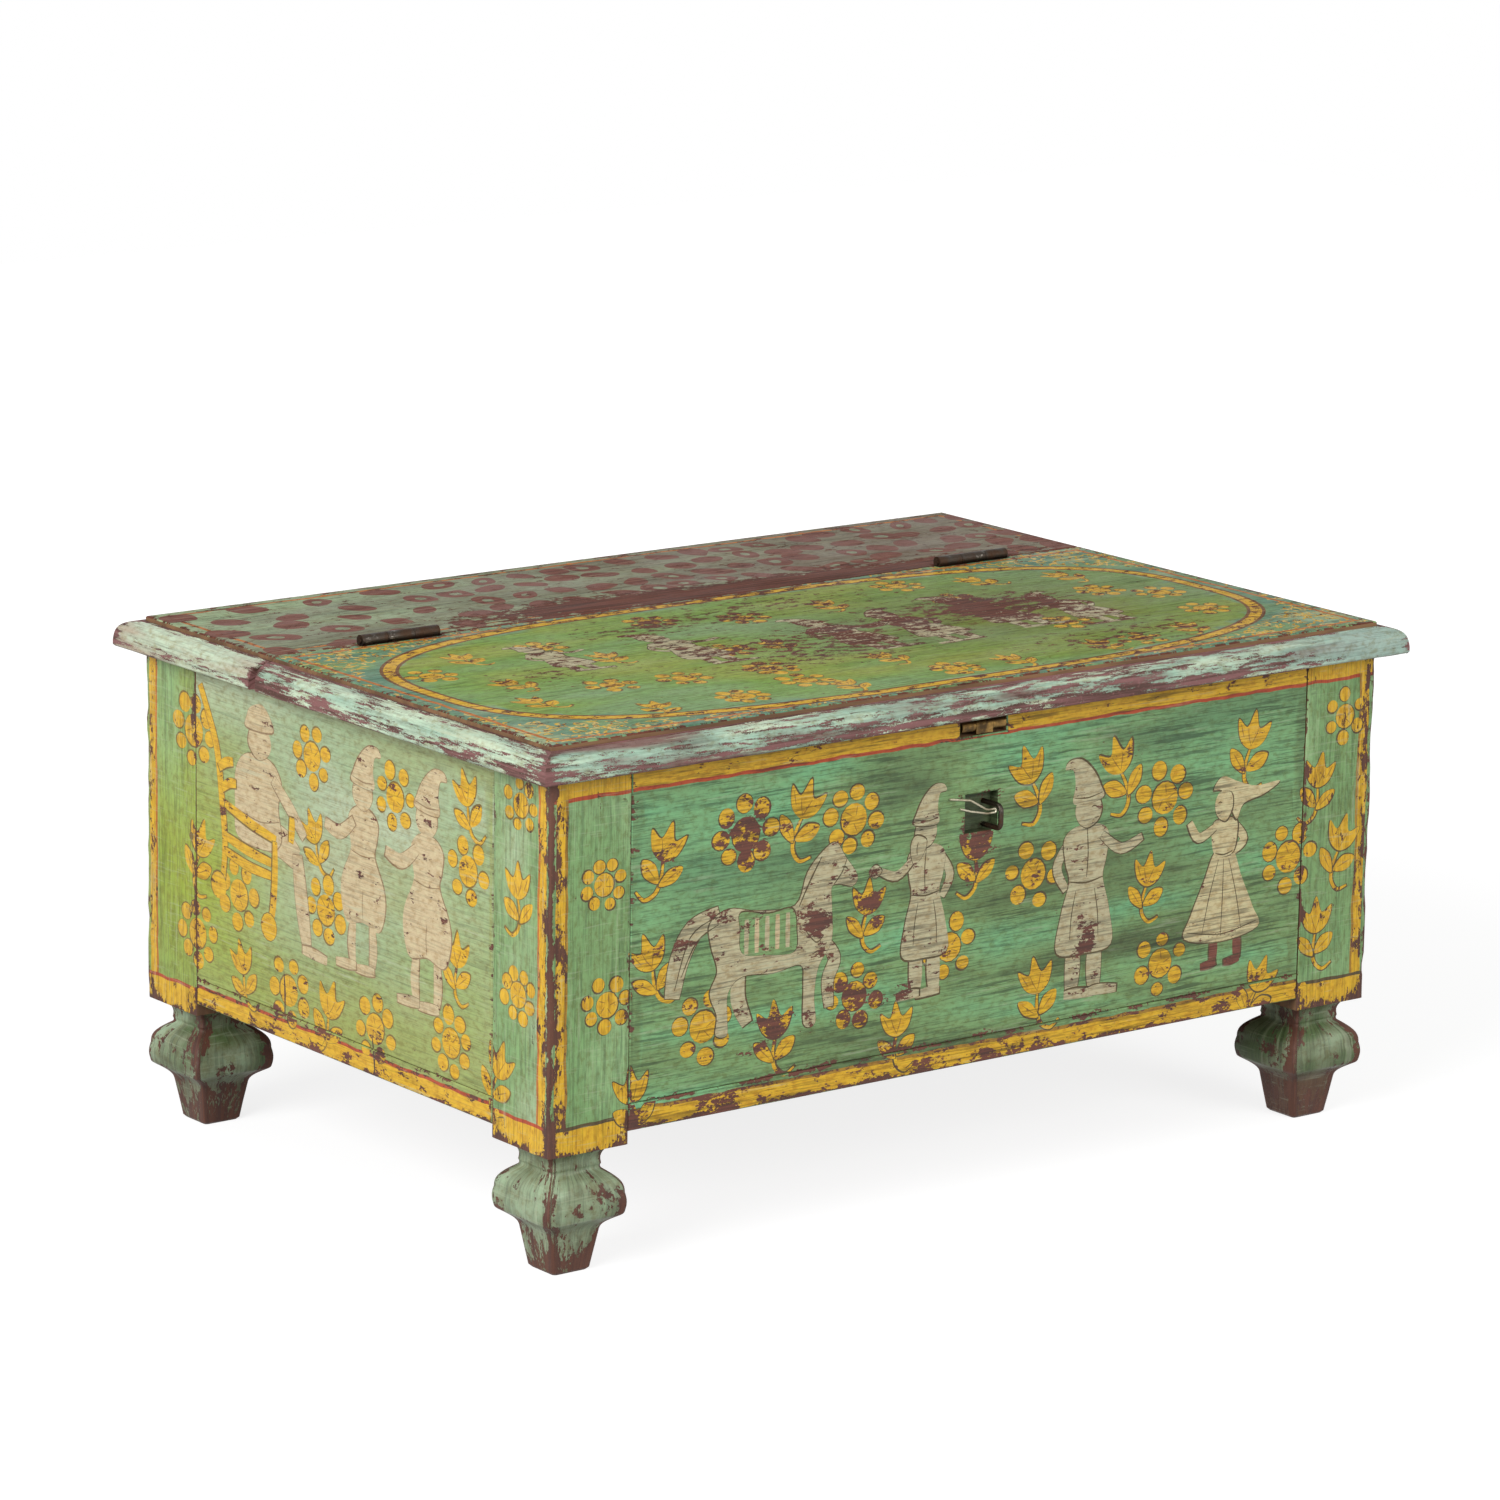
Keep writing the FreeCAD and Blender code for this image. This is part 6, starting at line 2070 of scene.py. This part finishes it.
def seen_directly(tree):
    path = put(tree, "LightPath")
    seen = reckon(tree, "MAXIMUM", path.outputs["Is Camera Ray"], path.outputs["Is Glossy Ray"])
    return reckon(tree, "MAXIMUM", seen, path.outputs["Is Transmission Ray"])


def add_floor():
    mesh = bpy.data.meshes.new("floor")
    plan = rectangle(-FLOOR_HALF, -FLOOR_HALF, FLOOR_HALF, FLOOR_HALF)
    mesh.from_pydata([(*corner, 0) for corner in plan], [], [(0, 1, 2, 3)])
    floor = bpy.data.objects.new("floor", mesh)
    bpy.context.scene.collection.objects.link(floor)
    material = bpy.data.materials.new("floor")
    material.use_nodes = True
    tree = material.node_tree
    tree.nodes.clear()
    matt = put(tree, "BsdfDiffuse", {"Color": FLOOR_GREY})
    place = put(tree, "TexCoord").outputs["Object"]
    far = put(tree, "VectorMath", {0: place}, operation="LENGTH").outputs["Value"]
    level = eased(tree, far, *FLOOR_FADE, FLOOR_GLOW, 1.0)
    level = reckon(tree, "MULTIPLY", seen_directly(tree), level)
    glow = put(tree, "Emission", {"Color": WHITE_LIGHT, "Strength": level})
    both = put(tree, "AddShader", {0: matt.outputs[0], 1: glow.outputs[0]})
    put(tree, "OutputMaterial", {"Surface": both.outputs[0]})
    mesh.materials.append(material)


def add_sky():
    world = bpy.data.worlds.new("studio")
    bpy.context.scene.world = world
    world.use_nodes = True
    tree = world.node_tree
    tree.nodes.clear()
    level = eased(tree, seen_directly(tree), 0.0, 1.0, SKY_STRENGTH, 1.0)
    sky = put(tree, "Background", {"Color": WHITE_LIGHT, "Strength": level})
    put(tree, "OutputWorld", {"Surface": sky.outputs[0]})


def add_camera():
    lens = bpy.data.cameras.new("camera")
    lens.lens = CAMERA_LENS
    lens.sensor_width = CAMERA_FILM
    lens.clip_end = CAMERA_REACH
    camera = bpy.data.objects.new("camera", lens)
    camera.matrix_world = Matrix.Translation(CAMERA_PLACE) @ CAMERA_TURN.to_4x4()
    bpy.context.scene.collection.objects.link(camera)
    bpy.context.scene.camera = camera


def stage():
    add_floor()
    add_sky()
    lamp("key", KEY_PLACE, KEY_SIZE, KEY_POWER)
    lamp("front_fill", FILL_PLACE, FILL_SIZE, FILL_POWER)
    add_camera()
    bpy.context.scene.view_settings.view_transform = "Standard"


def build():
    pictures = {"front": front_picture(), "left": left_picture(),
                "right": strewn_picture("right"), "rear": strewn_picture("rear")}
    for side, picture in pictures.items():
        for kind in ("panel", "rail"):
            side_board(kind, side, picture)
    for name in POST_WEAR:
        post(name, pictures, [POST_PAINT, WOODS[2]])
    plugs(pictures, top_boards())
    mouldings()
    carried_over()
    stage()


build()
